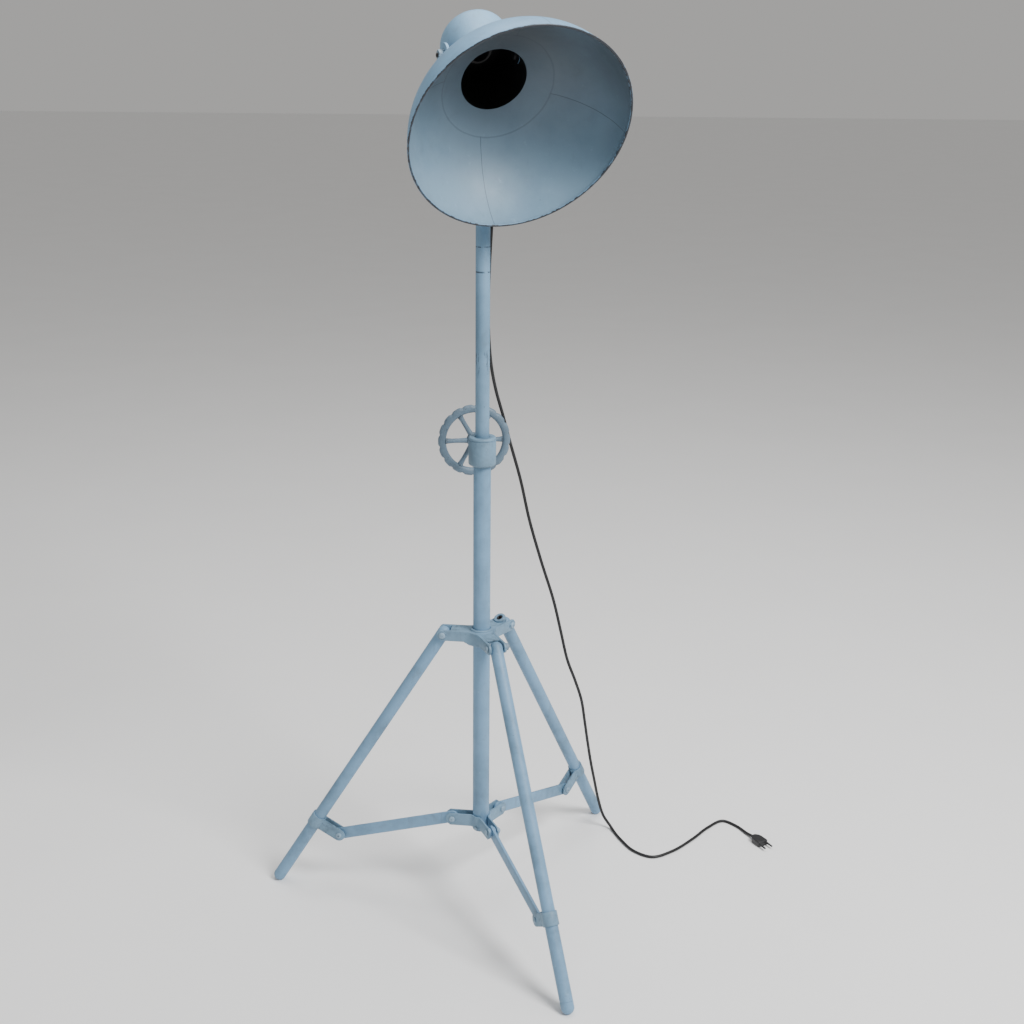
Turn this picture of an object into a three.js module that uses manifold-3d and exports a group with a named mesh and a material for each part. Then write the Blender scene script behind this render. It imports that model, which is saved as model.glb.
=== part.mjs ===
// Tripod floor lamp: folding three-leg stand, telescopic mast with a handwheel clamp, tilting shade.
// Millimetres, +Z up. The stand is drawn round the mast axis and the finished group is then moved
// so that the middle of its footprint is the origin.
import * as THREE from 'three';
import { mergeVertices } from 'three/addons/utils/BufferGeometryUtils.js';
import Module from 'manifold-3d';

const wasm = await Module();
wasm.setup();

// ---- driving dimensions -------------------------------------------------------------------
const GAP = 0.3;
const ROUND = 24;
const ARMS = { front: 21.94, right: 141.94, left: -98.06 };
const HEAD_SIDE = { front: -1, right: -1, left: 1 };

const MAST = { radius: 16.85, bore: 13.8, bottom: 160, top: 990 };
const LIFT = { radius: 13.45, bore: 11.15, bottom: 714, top: 1563.7 };
const COLLAR = { radius: 26.5, bottom: 941, neck: 3.5, top: 996, wheelHeight: 961.5 };
const END_PLUG = { bottom: 156.5, top: 170 };
const SWIVEL_SCREW = { below: 25, radius: 5.6, headEnd: 16.8 };
const HUB_BORE = 17.15;

const LEG = { radius: 12.7, bore: 10.7, tilt: 31.66, pivotOut: 76, pivotUp: 590, length: 679.2 };
const STRUT = { tilt: 13.76, length: 248.12, width: 24.5, thick: 5.5, pivotOut: 59, pivotUp: 179 };
const BRACKET = { along: 517.6, reach: 56, width: 26.5, inner: 5.9, outer: 9.4, band: 15.6 };
const UPPER = { inner: 13.2, outer: 18.5, bottom: 578.5, top: 600.5, lip: 22, lipTop: 605 };
const UPPER_RING = { radius: 27.5, bottom: 573 };
const UPPER_WEB = { from: 17.5, to: 61, thick: 4 };
const LOCK_BOSS = { tilt: -117, x: 62.5, z: 599.1, length: 10, radius: 12 };
const LOWER = { inner: 7.4, outer: 10.9, radius: 20.8, bottom: 165, top: 191, end: 72 };
const TAB = { azimuth: -30, bottom: 156.5, halfWidth: 10, screwUp: 9 };

const WHEEL = { azimuth: -171, out: 101.3, radius: 72, rimInside: 56, lobes: 18, thick: 13, spokes: 6 };

const HEAD = { azimuth: 20.76, tilt: 31.09, forward: 6, height: 1689, axisDrop: 10.6 };
const CAP = { radius: 64, wall: 2, front: 57, shoulder: -49, depth: 42, power: 2.3 };
const SHADE = { sheet: 1.7, neckBack: 48, neckFront: 58.3, neck: 61.7, seamOut: 82.2, seam: 103 };
const SHADE_MIDDLE = { out: 141.2, radius: 171 };
const SHADE_RIM = { out: 213, radius: 197.6, bead: 2.2 };
const YOKE = { inside: 72, thick: 5, boltRadius: 4, plateTop: -107, plateBottom: -113 };
const GLAND = { out: -74.7, up: -64.7, length: 22 };

const CORD_RADIUS = 3.25;
const CORD_ROUTE = [
  [-40.2, 105.9, 1666.7], [-44.5, 117.5, 1663], [-50.5, 132, 1655], [-54, 145, 1642], [-54, 152, 1625],
  [-50, 153, 1607], [-43, 147, 1590], [-33, 135, 1574], [-22, 119, 1559], [-11, 100, 1543],
  [-2, 80, 1526], [5, 62, 1506], [10, 50, 1483], [13, 42, 1456], [14.8, 37.5, 1424], [15.6, 38, 1387],
  [14.1, 43, 1353], [12, 50, 1308], [10, 66, 1226], [12.2, 79, 1165], [17.3, 92, 1110],
  [26.5, 108, 1060], [40.8, 127, 1005], [54.4, 140, 951], [77.8, 154, 864], [97.3, 164, 775],
  [122.5, 176, 684], [151, 188, 590], [167.8, 197, 518], [184.5, 206, 445], [203, 213, 393],
  [218, 220, 344], [226.4, 227, 293], [234.5, 236, 240], [243.6, 246, 185], [254.4, 257, 130],
  [266, 267, 74], [279, 273, 31], [294, 268, 9], [303, 246, 3.4], [314, 215, 3.4], [339, 166, 3.4],
  [377, 141, 3.4], [424, 165, 3.4], [476, 217, 3.4], [518, 268, 3.4], [556, 298, 3.4], [584, 275, 3.4],
  [603, 240, 4.5], [613, 222, 7.3],
];
const LEAD_END = 11;
const SWIVEL_END = 15;
const PLUG = { thick: 13.4, length: 36, pinRadius: 2.4, pinLength: 19, pinSpread: 9.5 };

// ---- colours and finishes -----------------------------------------------------------------
const FINISH = {
  paint: { color: 0x9db4c4, roughness: 0.55, metalness: 0.1 },
  casting: { color: 0x93a8b6, roughness: 0.65, metalness: 0.1 },
  bolt: { color: 0x8a9ba6, roughness: 0.5, metalness: 0.4 },
  black: { color: 0x17181a, roughness: 0.6, metalness: 0 },
  cord: { color: 0x101112, roughness: 0.5, metalness: 0 },
};

// ---- helpers ------------------------------------------------------------------------------
function signedVolume(geometry) {
  const corner = geometry.getAttribute('position');
  const index = geometry.getIndex().array;
  const [a, b, c] = [new THREE.Vector3(), new THREE.Vector3(), new THREE.Vector3()];
  let total = 0;
  for (let i = 0; i < index.length; i += 3) {
    a.fromBufferAttribute(corner, index[i]);
    b.fromBufferAttribute(corner, index[i + 1]);
    c.fromBufferAttribute(corner, index[i + 2]);
    total += a.dot(b.cross(c));
  }
  return total;
}

// One closed skin: shared corners, no collapsed triangles, faces outward.
function closed(source) {
  const bare = source.clone();
  bare.deleteAttribute('normal');
  bare.deleteAttribute('uv');
  const merged = mergeVertices(bare, 1e-4);
  const old = merged.getIndex().array;
  const kept = [];
  for (let i = 0; i < old.length; i += 3) {
    const [a, b, c] = [old[i], old[i + 1], old[i + 2]];
    if (a !== b && b !== c && c !== a) kept.push(a, b, c);
  }
  merged.setIndex(kept);
  if (signedVolume(merged) < 0) {
    for (let i = 0; i < kept.length; i += 3) [kept[i + 1], kept[i + 2]] = [kept[i + 2], kept[i + 1]];
    merged.setIndex(kept);
  }
  return merged;
}

function solidOf(geometry) {
  const skin = closed(geometry);
  const vertProperties = new Float32Array(skin.getAttribute('position').array);
  const triVerts = new Uint32Array(skin.getIndex().array);
  return new wasm.Manifold(new wasm.Mesh({ numProp: 3, vertProperties, triVerts }));
}

function geometryOf(solid) {
  const mesh = solid.getMesh();
  const geometry = new THREE.BufferGeometry();
  geometry.setAttribute('position', new THREE.BufferAttribute(new Float32Array(mesh.vertProperties), 3));
  geometry.setIndex(new THREE.BufferAttribute(new Uint32Array(mesh.triVerts), 1));
  return geometry;
}

function join(...pieces) {
  return geometryOf(pieces.map(solidOf).reduce((whole, piece) => whole.add(piece)));
}

function cut(piece, ...tools) {
  return geometryOf(tools.map(solidOf).reduce((rest, tool) => rest.subtract(tool), solidOf(piece)));
}

// Turned shape about Y, Z or X; the profile holds [radius, distance along the axis].
function turned(profile, segments, axis = 'z') {
  const points = profile.map(([radius, along]) => new THREE.Vector2(radius, along));
  const geometry = new THREE.LatheGeometry(points, segments);
  if (axis === 'z') geometry.rotateX(Math.PI / 2);
  if (axis === 'x') geometry.rotateZ(-Math.PI / 2);
  return closed(geometry);
}

function rod(radius, from, to, segments, axis = 'z') {
  return turned([[0, from], [radius, from], [radius, to], [0, to]], segments, axis);
}

function ring(outer, inner, from, to, segments, axis = 'z') {
  const profile = [[inner, from], [outer, from], [outer, to], [inner, to], [inner, from]];
  return turned(profile, segments, axis);
}

// Flat plate: the outline lies in X and Z, the thickness runs between two Y values.
function plate(shape, fromY, toY, curveSegments = 4) {
  const geometry = new THREE.ExtrudeGeometry(shape, {
    depth: toY - fromY,
    bevelEnabled: false,
    curveSegments,
  });
  return closed(geometry.rotateX(Math.PI / 2).translate(0, toY, 0));
}

function hexNut(across, bore, from, to) {
  const shape = new THREE.Shape();
  const corner = across / Math.sqrt(3);
  for (let i = 0; i < 6; i += 1) {
    const angle = (i * Math.PI) / 3;
    const step = i === 0 ? 'moveTo' : 'lineTo';
    shape[step](corner * Math.cos(angle), corner * Math.sin(angle));
  }
  shape.closePath();
  shape.holes.push(new THREE.Path().absarc(0, 0, bore, 0, 2 * Math.PI, true));
  return plate(shape, from, to, 5);
}

// Pivot bolt along Y with a domed head at one side; side is the sign of Y where the head sits.
function domedBolt(side, headRadius, headHeight, faceAt, shank, tipAt) {
  const profile = [
    [0, faceAt + headHeight],
    [headRadius * 0.55, faceAt + headHeight * 0.9],
    [headRadius * 0.9, faceAt + headHeight * 0.5],
    [headRadius, faceAt],
    [shank, faceAt],
    [shank, tipAt],
    [0, tipAt],
  ];
  return turned(profile.map(([radius, along]) => [radius, along * side]), 10, 'y');
}

function turnFor(azimuth) {
  return THREE.MathUtils.degToRad(azimuth - 90);
}

const lamp = new THREE.Group();

function frameAt(parent, { x = 0, y = 0, z = 0, turn = 0, tilt = 0 }) {
  const group = new THREE.Group();
  group.position.set(x, y, z);
  group.rotation.order = 'ZYX';
  group.rotation.set(0, THREE.MathUtils.degToRad(tilt), turn);
  parent.add(group);
  return group;
}

function add(parent, name, geometry, finish) {
  const mesh = new THREE.Mesh(closed(geometry), new THREE.MeshStandardMaterial(FINISH[finish]));
  mesh.name = name;
  parent.add(mesh);
}

// ---- mast ---------------------------------------------------------------------------------
function buildMast() {
  const screwHole = turned([[0, 0], [5.4, 0], [5.4, 60], [0, 60]], 16, 'x');
  screwHole.rotateZ(turnFor(WHEEL.azimuth)).translate(0, 0, COLLAR.wheelHeight);

  const tube = ring(MAST.radius, MAST.bore, MAST.bottom, MAST.top, ROUND);
  add(lamp, 'mast_outer_tube', cut(tube, screwHole), 'paint');

  const bore = MAST.radius + GAP;
  const body = turned([
    [bore, COLLAR.bottom - COLLAR.neck], [bore + 2.6, COLLAR.bottom - COLLAR.neck], [bore + 2.6, COLLAR.bottom],
    [COLLAR.radius - 1.5, COLLAR.bottom], [COLLAR.radius, COLLAR.bottom + 5],
    [COLLAR.radius, COLLAR.top - 3], [COLLAR.radius - 3, COLLAR.top], [MAST.bore, COLLAR.top],
    [MAST.bore, MAST.top + GAP], [bore, MAST.top + GAP], [bore, COLLAR.bottom - COLLAR.neck],
  ], ROUND);
  const boss = rod(12, bore + 4, 45, 20, 'x');
  boss.rotateZ(turnFor(WHEEL.azimuth)).translate(0, 0, COLLAR.wheelHeight);
  add(lamp, 'clamp_collar', cut(join(body, boss), screwHole), 'casting');

  const plug = turned([
    [0, END_PLUG.bottom], [14.5, END_PLUG.bottom], [MAST.radius, END_PLUG.bottom + 1.5],
    [MAST.radius, MAST.bottom - GAP], [MAST.bore - 0.4, MAST.bottom - GAP],
    [MAST.bore - 0.4, END_PLUG.top], [0, END_PLUG.top],
  ], 18);
  add(lamp, 'mast_end_plug', plug, 'casting');

  const lockHole = rod(3.5, 5, 30, 12, 'x');
  lockHole.rotateZ(turnFor(HEAD.azimuth + 180)).translate(0, 0, LIFT.top - SWIVEL_SCREW.below);
  const inner = ring(LIFT.radius, LIFT.bore, LIFT.bottom, LIFT.top, ROUND);
  add(lamp, 'mast_inner_tube', cut(inner, lockHole), 'paint');

  const { radius, headEnd } = SWIVEL_SCREW;
  const seat = LIFT.radius + 0.75;
  const lock = turned([
    [0, LIFT.bore + 0.25], [3, LIFT.bore + 0.25], [3, seat], [radius, seat], [radius, headEnd - 0.6],
    [radius - 0.8, headEnd], [0, headEnd],
  ], 12, 'x');
  lock.rotateZ(turnFor(HEAD.azimuth + 180)).translate(0, 0, LIFT.top - SWIVEL_SCREW.below);
  add(lamp, 'swivel_lock_screw', lock, 'bolt');
}

// ---- handwheel clamp ----------------------------------------------------------------------
function wheelRim() {
  const outline = new THREE.Shape();
  const steps = WHEEL.lobes * 3;
  for (let i = 0; i < steps; i += 1) {
    const angle = (i / steps) * 2 * Math.PI;
    const radius = WHEEL.radius - 2.2 + 1.4 * Math.cos(angle * WHEEL.lobes);
    const step = i === 0 ? 'moveTo' : 'lineTo';
    outline[step](radius * Math.cos(angle), radius * Math.sin(angle));
  }
  outline.closePath();
  const hole = new THREE.Path();
  hole.absarc(0, 0, WHEEL.rimInside + 2.5, 0, 2 * Math.PI, true);
  outline.holes.push(hole);
  const geometry = new THREE.ExtrudeGeometry(outline, {
    depth: WHEEL.thick - 6,
    bevelThickness: 3,
    bevelSize: 2,
    bevelSegments: 1,
    curveSegments: 14,
  });
  return closed(geometry.translate(0, 0, 3 - WHEEL.thick / 2).rotateY(Math.PI / 2));
}

function buildWheel() {
  const place = frameAt(lamp, { z: COLLAR.wheelHeight, turn: turnFor(WHEEL.azimuth) });
  const pieces = [wheelRim(), turned([[0, -9], [13, -9], [15, -4], [15, 6], [12, 13], [0, 13]], 20, 'x')];
  for (let i = 0; i < WHEEL.spokes; i += 1) {
    const spoke = rod(4.6, 8, WHEEL.rimInside + 5, 6);
    pieces.push(spoke.rotateX(((i + 0.5) / WHEEL.spokes) * 2 * Math.PI));
  }
  const wheel = cut(join(...pieces), rod(5.4, -20, 30, 16, 'x'));
  add(place, 'handwheel', wheel.translate(WHEEL.out, 0, 0), 'casting');

  const hubBack = WHEEL.out - 9;
  const screw = turned([
    [0, LIFT.radius + 0.4], [3.5, LIFT.radius + 0.4], [5, LIFT.radius + 2], [5, 70], [8.5, 70],
    [8.5, hubBack - GAP], [5, hubBack - GAP], [5, 126], [0, 126],
  ], 16, 'x');
  add(place, 'clamp_screw', screw, 'bolt');

  const nut = hexNut(16, 5.4, WHEEL.out + 13.3, WHEEL.out + 20.3);
  add(place, 'wheel_nut', nut.rotateZ(-Math.PI / 2), 'bolt');
}

// ---- tripod -------------------------------------------------------------------------------
function upperHub() {
  const pieces = [turned([
    [HUB_BORE, UPPER_RING.bottom], [UPPER_RING.radius, UPPER_RING.bottom], [UPPER_RING.radius, UPPER.top],
    [UPPER.lip, UPPER.top], [UPPER.lip, UPPER.lipTop - 1.5], [UPPER.lip - 1.5, UPPER.lipTop],
    [HUB_BORE, UPPER.lipTop], [HUB_BORE, UPPER_RING.bottom],
  ], ROUND)];
  const pivotHoles = [];
  for (const azimuth of Object.values(ARMS)) {
    const cheek = new THREE.Shape();
    cheek.moveTo(14, UPPER.bottom + 0.4);
    cheek.lineTo(LEG.pivotOut, LEG.pivotUp - 11.5);
    cheek.absarc(LEG.pivotOut, LEG.pivotUp, 11.5, -Math.PI / 2, Math.PI / 3, false);
    cheek.lineTo(LEG.pivotOut - 8, UPPER.top - 0.2);
    cheek.lineTo(14, UPPER.top - 0.2);
    cheek.closePath();
    const web = new THREE.BoxGeometry(UPPER_WEB.to - UPPER_WEB.from, 2 * UPPER.inner + 1, UPPER_WEB.thick);
    web.translate((UPPER_WEB.to + UPPER_WEB.from) / 2, 0, UPPER.top - GAP - UPPER_WEB.thick / 2);
    const arm = [plate(cheek, UPPER.inner, UPPER.outer), plate(cheek, -UPPER.outer, -UPPER.inner), web];
    pieces.push(...arm.map((piece) => piece.rotateZ(turnFor(azimuth))));
    const hole = rod(4.4, -30, 30, 12, 'y');
    pivotHoles.push(hole.translate(LEG.pivotOut, 0, LEG.pivotUp).rotateZ(turnFor(azimuth)));
  }
  const bore = rod(HUB_BORE, UPPER_RING.bottom - 5, UPPER.lipTop + 5, ROUND);
  return cut(join(...pieces, lockBoss()), bore, ...pivotHoles, lockScrewHole());
}

function atLockBoss(geometry) {
  geometry.rotateY(THREE.MathUtils.degToRad(LOCK_BOSS.tilt)).translate(LOCK_BOSS.x, 0, LOCK_BOSS.z);
  return geometry.rotateZ(turnFor(ARMS.right));
}

function lockBoss() {
  return atLockBoss(rod(LOCK_BOSS.radius, 0, LOCK_BOSS.length, 20, 'x'));
}

function lockScrewHole() {
  return atLockBoss(rod(6.4, 0.8, LOCK_BOSS.length + 5, 16, 'x'));
}

function lowerHub() {
  const pieces = [ring(LOWER.radius, HUB_BORE, LOWER.bottom, LOWER.top, ROUND)];
  const pivotHoles = [];
  for (const azimuth of Object.values(ARMS)) {
    const cheek = new THREE.Shape();
    cheek.moveTo(16.5, LOWER.bottom + 0.2);
    cheek.lineTo(LOWER.end - 6, LOWER.bottom + 0.2);
    cheek.lineTo(LOWER.end, LOWER.bottom + 6);
    cheek.lineTo(LOWER.end, LOWER.top - 6);
    cheek.lineTo(LOWER.end - 6, LOWER.top - 0.2);
    cheek.lineTo(16.5, LOWER.top - 0.2);
    cheek.closePath();
    const arm = [plate(cheek, LOWER.inner, LOWER.outer), plate(cheek, -LOWER.outer, -LOWER.inner)];
    pieces.push(...arm.map((piece) => piece.rotateZ(turnFor(azimuth))));
    const hole = rod(4, -20, 20, 12, 'y');
    pivotHoles.push(hole.translate(STRUT.pivotOut, 0, STRUT.pivotUp).rotateZ(turnFor(azimuth)));
  }
  const tab = new THREE.Shape();
  tab.moveTo(-TAB.halfWidth, LOWER.bottom + 8);
  tab.absarc(0, TAB.bottom + TAB.halfWidth, TAB.halfWidth, Math.PI, 2 * Math.PI, false);
  tab.lineTo(TAB.halfWidth, LOWER.bottom + 8);
  tab.closePath();
  const tabPlate = plate(tab, HUB_BORE + 0.2, LOWER.radius);
  pieces.push(tabPlate.rotateZ(-Math.PI / 2).rotateZ(turnFor(TAB.azimuth)));
  const screwHole = rod(2.5, 10, 30, 12, 'x').translate(0, 0, TAB.bottom + TAB.screwUp);
  return cut(join(...pieces), ...pivotHoles, screwHole.rotateZ(turnFor(TAB.azimuth)));
}

function buildHubs() {
  add(lamp, 'upper_hub', upperHub(), 'casting');
  add(lamp, 'lower_hub', lowerHub(), 'casting');
  const socket = rod(3.5, 4, LOCK_BOSS.length, 6, 'x');
  const lock = cut(rod(6, 1.2, LOCK_BOSS.length - 1, 16, 'x'), socket);
  add(lamp, 'hub_lock_screw', atLockBoss(lock), 'black');
  const tabScrew = turned([
    [0, HUB_BORE], [2.1, HUB_BORE], [2.1, LOWER.radius + GAP], [4.2, LOWER.radius + GAP],
    [3.6, LOWER.radius + 2.2], [0, LOWER.radius + 2.8],
  ], 12, 'x');
  tabScrew.translate(0, 0, TAB.bottom + TAB.screwUp).rotateZ(turnFor(TAB.azimuth));
  add(lamp, 'tab_screw', tabScrew, 'bolt');
}

function legTube() {
  const dome = [];
  for (let i = 0; i <= 3; i += 1) {
    const angle = (i / 3) * (Math.PI / 2);
    dome.push([LEG.radius * Math.sin(angle), LEG.radius * Math.cos(angle)]);
  }
  const end = -(LEG.length - 10);
  const profile = [...dome, [LEG.radius, end], [LEG.bore, end], [LEG.bore, -16], [0, -16]];
  return cut(turned(profile, 18), rod(4.4, -20, 20, 12, 'y'));
}

function footPlug() {
  const centre = -LEG.length;
  const profile = [[0, centre + 30], [LEG.bore - 0.4, centre + 30], [LEG.bore - 0.4, centre + 10 - GAP]];
  profile.push([LEG.radius, centre + 10 - GAP]);
  for (let i = 0; i <= 4; i += 1) {
    const angle = (i / 4) * (Math.PI / 2);
    profile.push([LEG.radius * Math.cos(angle), centre - LEG.radius * Math.sin(angle)]);
  }
  const floorCut = new THREE.BoxGeometry(80, 80, 40);
  const out = LEG.pivotOut + LEG.length * Math.sin(THREE.MathUtils.degToRad(LEG.tilt));
  floorCut.translate(out - LEG.pivotOut, 0, -20 - LEG.pivotUp);
  floorCut.rotateY(THREE.MathUtils.degToRad(LEG.tilt));
  return cut(turned(profile, 18), floorCut);
}

function legBracket() {
  const cheek = new THREE.Shape();
  const half = BRACKET.width / 2;
  cheek.moveTo(-11.8, half - 0.3);
  cheek.absarc(-BRACKET.reach, 0, half - 0.3, Math.PI / 2, 1.5 * Math.PI, false);
  cheek.lineTo(-11.8, 0.3 - half);
  cheek.closePath();
  const body = join(
    ring(BRACKET.band, LEG.radius + GAP, -half, half, 18),
    plate(cheek, BRACKET.inner, BRACKET.outer),
    plate(cheek, -BRACKET.outer, -BRACKET.inner),
  );
  return cut(body, rod(4.2, -20, 20, 12, 'y').translate(-BRACKET.reach, 0, 0));
}

function strutBar() {
  const half = STRUT.width / 2;
  const outline = new THREE.Shape();
  outline.absarc(0, 0, half, Math.PI / 2, 1.5 * Math.PI, false);
  outline.absarc(STRUT.length, 0, half, -Math.PI / 2, Math.PI / 2, false);
  outline.closePath();
  const innerBoss = LOWER.inner - GAP;
  const outerBoss = BRACKET.inner - GAP;
  const body = join(
    plate(outline, -STRUT.thick / 2, STRUT.thick / 2),
    rod(9, -innerBoss, innerBoss, 14, 'y'),
    rod(9, -outerBoss, outerBoss, 14, 'y').translate(STRUT.length, 0, 0),
  );
  const holes = [0, STRUT.length].map((x) => rod(4.2, -20, 20, 12, 'y').translate(x, 0, 0));
  return cut(body, ...holes);
}

function buildArm(arm) {
  const azimuth = ARMS[arm];
  const side = HEAD_SIDE[arm];
  const place = frameAt(lamp, { turn: turnFor(azimuth) });

  const pivot = frameAt(place, { x: LEG.pivotOut, z: LEG.pivotUp });
  const face = UPPER.outer + GAP;
  add(pivot, `leg_pivot_bolt_${arm}`, domedBolt(side, 6.5, 4.2, face, 4, -face - 8), 'bolt');
  const nut = hexNut(12.5, 4.4, face, face + 6);
  add(pivot, `leg_pivot_nut_${arm}`, side > 0 ? nut.rotateZ(Math.PI) : nut, 'bolt');

  const leg = frameAt(pivot, { tilt: -LEG.tilt });
  add(leg, `leg_tube_${arm}`, legTube(), 'paint');
  add(leg, `foot_plug_${arm}`, footPlug(), 'paint');

  const knee = frameAt(leg, { z: -BRACKET.along });
  add(knee, `leg_bracket_${arm}`, legBracket(), 'casting');
  const stub = frameAt(knee, { x: -BRACKET.reach });
  const bracketFace = BRACKET.outer + GAP;
  const stubBolt = domedBolt(side, 6.2, 3.6, bracketFace, 3.8, BRACKET.inner + GAP);
  add(stub, `bracket_bolt_${arm}`, stubBolt, 'bolt');
  const stubNut = turned([
    [0, BRACKET.inner + GAP], [3.8, BRACKET.inner + GAP], [3.8, bracketFace], [6.4, bracketFace],
    [6.4, bracketFace + 5], [0, bracketFace + 5],
  ], 6, 'y');
  add(stub, `bracket_nut_${arm}`, side > 0 ? stubNut.rotateZ(Math.PI) : stubNut, 'bolt');

  const root = frameAt(place, { x: STRUT.pivotOut, z: STRUT.pivotUp });
  const lowerFace = LOWER.outer + GAP;
  add(root, `strut_pivot_bolt_${arm}`, domedBolt(side, 6.5, 4, lowerFace, 3.7, -lowerFace - 7), 'bolt');
  const strutNut = hexNut(11, 4, lowerFace, lowerFace + 5.5);
  add(root, `strut_pivot_nut_${arm}`, side > 0 ? strutNut.rotateZ(Math.PI) : strutNut, 'bolt');
  add(frameAt(root, { tilt: STRUT.tilt }), `strut_${arm}`, strutBar(), 'paint');
}

// ---- head ---------------------------------------------------------------------------------
// Inside the head X runs forward along the shade's axis, Y to the right and Z up.
function arcThrough(start, middle, end, count) {
  const [a, b, c] = [start, middle, end].map(([x, y]) => new THREE.Vector2(x, y));
  const size = (p) => p.lengthSq();
  const d = 2 * (a.x * (b.y - c.y) + b.x * (c.y - a.y) + c.x * (a.y - b.y));
  const x = (size(a) * (b.y - c.y) + size(b) * (c.y - a.y) + size(c) * (a.y - b.y)) / d;
  const y = (size(a) * (c.x - b.x) + size(b) * (a.x - c.x) + size(c) * (b.x - a.x)) / d;
  const centre = new THREE.Vector2(x, y);
  const radius = a.distanceTo(centre);
  const from = Math.atan2(a.y - y, a.x - x);
  const to = Math.atan2(c.y - y, c.x - x);
  const points = [];
  for (let i = 0; i <= count; i += 1) {
    const angle = from + ((to - from) * i) / count;
    points.push({ angle, x, y, radius });
  }
  return points;
}

function shadeShell() {
  const outerArc = [];
  const innerArc = [];
  const rimStart = [SHADE_RIM.out - SHADE_RIM.bead, SHADE_RIM.radius];
  const seam = [SHADE.seamOut, SHADE.seam];
  for (const { angle, x, y, radius } of arcThrough(seam, [SHADE_MIDDLE.out, SHADE_MIDDLE.radius], rimStart, 6)) {
    outerArc.push([y + radius * Math.sin(angle), x + radius * Math.cos(angle)]);
    const inside = radius - SHADE.sheet;
    innerArc.push([y + inside * Math.sin(angle), x + inside * Math.cos(angle)]);
  }
  const { out, radius, bead } = SHADE_RIM;
  const profile = [
    [SHADE.neck - SHADE.sheet, SHADE.neckBack], [SHADE.neck, SHADE.neckBack], [SHADE.neck, SHADE.neckFront],
    ...outerArc,
    [radius + bead * 0.8, out - bead * 0.8], [radius + bead * 0.8, out + bead * 0.2], [radius, out + bead * 0.6],
    [radius - bead * 0.8, out], ...innerArc.slice(1, -1).reverse(),
    [SHADE.seam - SHADE.sheet * 1.2, SHADE.seamOut + SHADE.sheet * 0.8],
    [SHADE.neck - SHADE.sheet, SHADE.neckFront + 1], [SHADE.neck - SHADE.sheet, SHADE.neckBack],
  ];
  return turned(profile, 36, 'x');
}

function domeRadius(radius, share) {
  return radius * (1 - share ** CAP.power) ** (1 / CAP.power);
}

function capSolid(radius, depth, front) {
  const profile = [[0, front], [radius, front], [radius, CAP.shoulder]];
  for (const share of [0.3, 0.55, 0.75, 0.88, 0.96]) {
    profile.push([domeRadius(radius, share), CAP.shoulder - depth * share]);
  }
  profile.push([0, CAP.shoulder - depth]);
  return turned(profile, 36, 'x');
}

function buildHead() {
  const toFront = THREE.MathUtils.degToRad(HEAD.azimuth);
  const swivel = frameAt(lamp, {
    x: HEAD.forward * Math.sin(toFront),
    y: -HEAD.forward * Math.cos(toFront),
    z: HEAD.height,
    turn: turnFor(HEAD.azimuth),
  });
  const head = frameAt(swivel, { tilt: HEAD.tilt });

  const hollow = capSolid(CAP.radius - CAP.wall, CAP.depth - CAP.wall, CAP.front + 10);
  const skin = capSolid(CAP.radius, CAP.depth, CAP.front).translate(0, 0, -HEAD.axisDrop);
  const bosses = [-1, 1].map((side) => rod(12, side * 50, side * (YOKE.inside - GAP), 20, 'y'));
  const boltHole = rod(YOKE.boltRadius + 0.4, -100, 100, 12, 'y');
  const glandHole = atGland(rod(6.4, -20, 10, 16));
  const nippleHole = rod(5.4, -120, -60, 12, 'x').translate(0, 0, -HEAD.axisDrop);
  const cap = cut(join(skin, ...bosses), hollow.translate(0, 0, -HEAD.axisDrop), boltHole, glandHole, nippleHole);
  add(head, 'lamp_cap', cap, 'paint');

  const axis = frameAt(head, { z: -HEAD.axisDrop });
  add(axis, 'shade', shadeShell(), 'paint');
  const holder = turned([
    [0, -87.6], [17, -87.6], [17, -82], [21, -78], [21, -34], [23, -32], [23, -26], [18.2, -26],
    [18.2, -66], [0, -66],
  ], 18, 'x');
  add(axis, 'lampholder', holder, 'black');
  const nipple = turned([[0, -87.9], [5, -87.9], [5, -91.3], [8.5, -91.3], [8.5, -95], [0, -96]], 12, 'x');
  add(axis, 'holder_nipple', nipple, 'bolt');

  const glandBody = turned([
    [3.6, -8], [6, -8], [6, 1.6], [11, 1.6], [11, 7], [9.5, 8.5], [9.5, 14], [7.5, GLAND.length],
    [3.6, GLAND.length], [3.6, -8],
  ], 14);
  add(head, 'cord_gland', atGland(glandBody), 'black');

  for (const side of [-1, 1]) {
    const name = side < 0 ? 'left' : 'right';
    const bolt = turned([
      [0, 52], [6, 52.6], [8, 55], [8, 56.5], [YOKE.boltRadius, 56.5], [YOKE.boltRadius, 90], [0, 90],
    ].map(([radius, along]) => [radius, along * side]), 10, 'y');
    add(head, `trunnion_bolt_${name}`, bolt, 'bolt');
    const nut = hexNut(17, YOKE.boltRadius + 0.4, YOKE.inside + YOKE.thick + GAP, 87.5);
    add(head, `trunnion_nut_${name}`, side < 0 ? nut.rotateZ(Math.PI) : nut, 'bolt');
  }

  add(swivel, 'yoke', yoke(), 'paint');
}

function atGland(geometry) {
  return geometry.rotateY(-0.75 * Math.PI).translate(GLAND.out, 0, GLAND.up);
}

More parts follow.
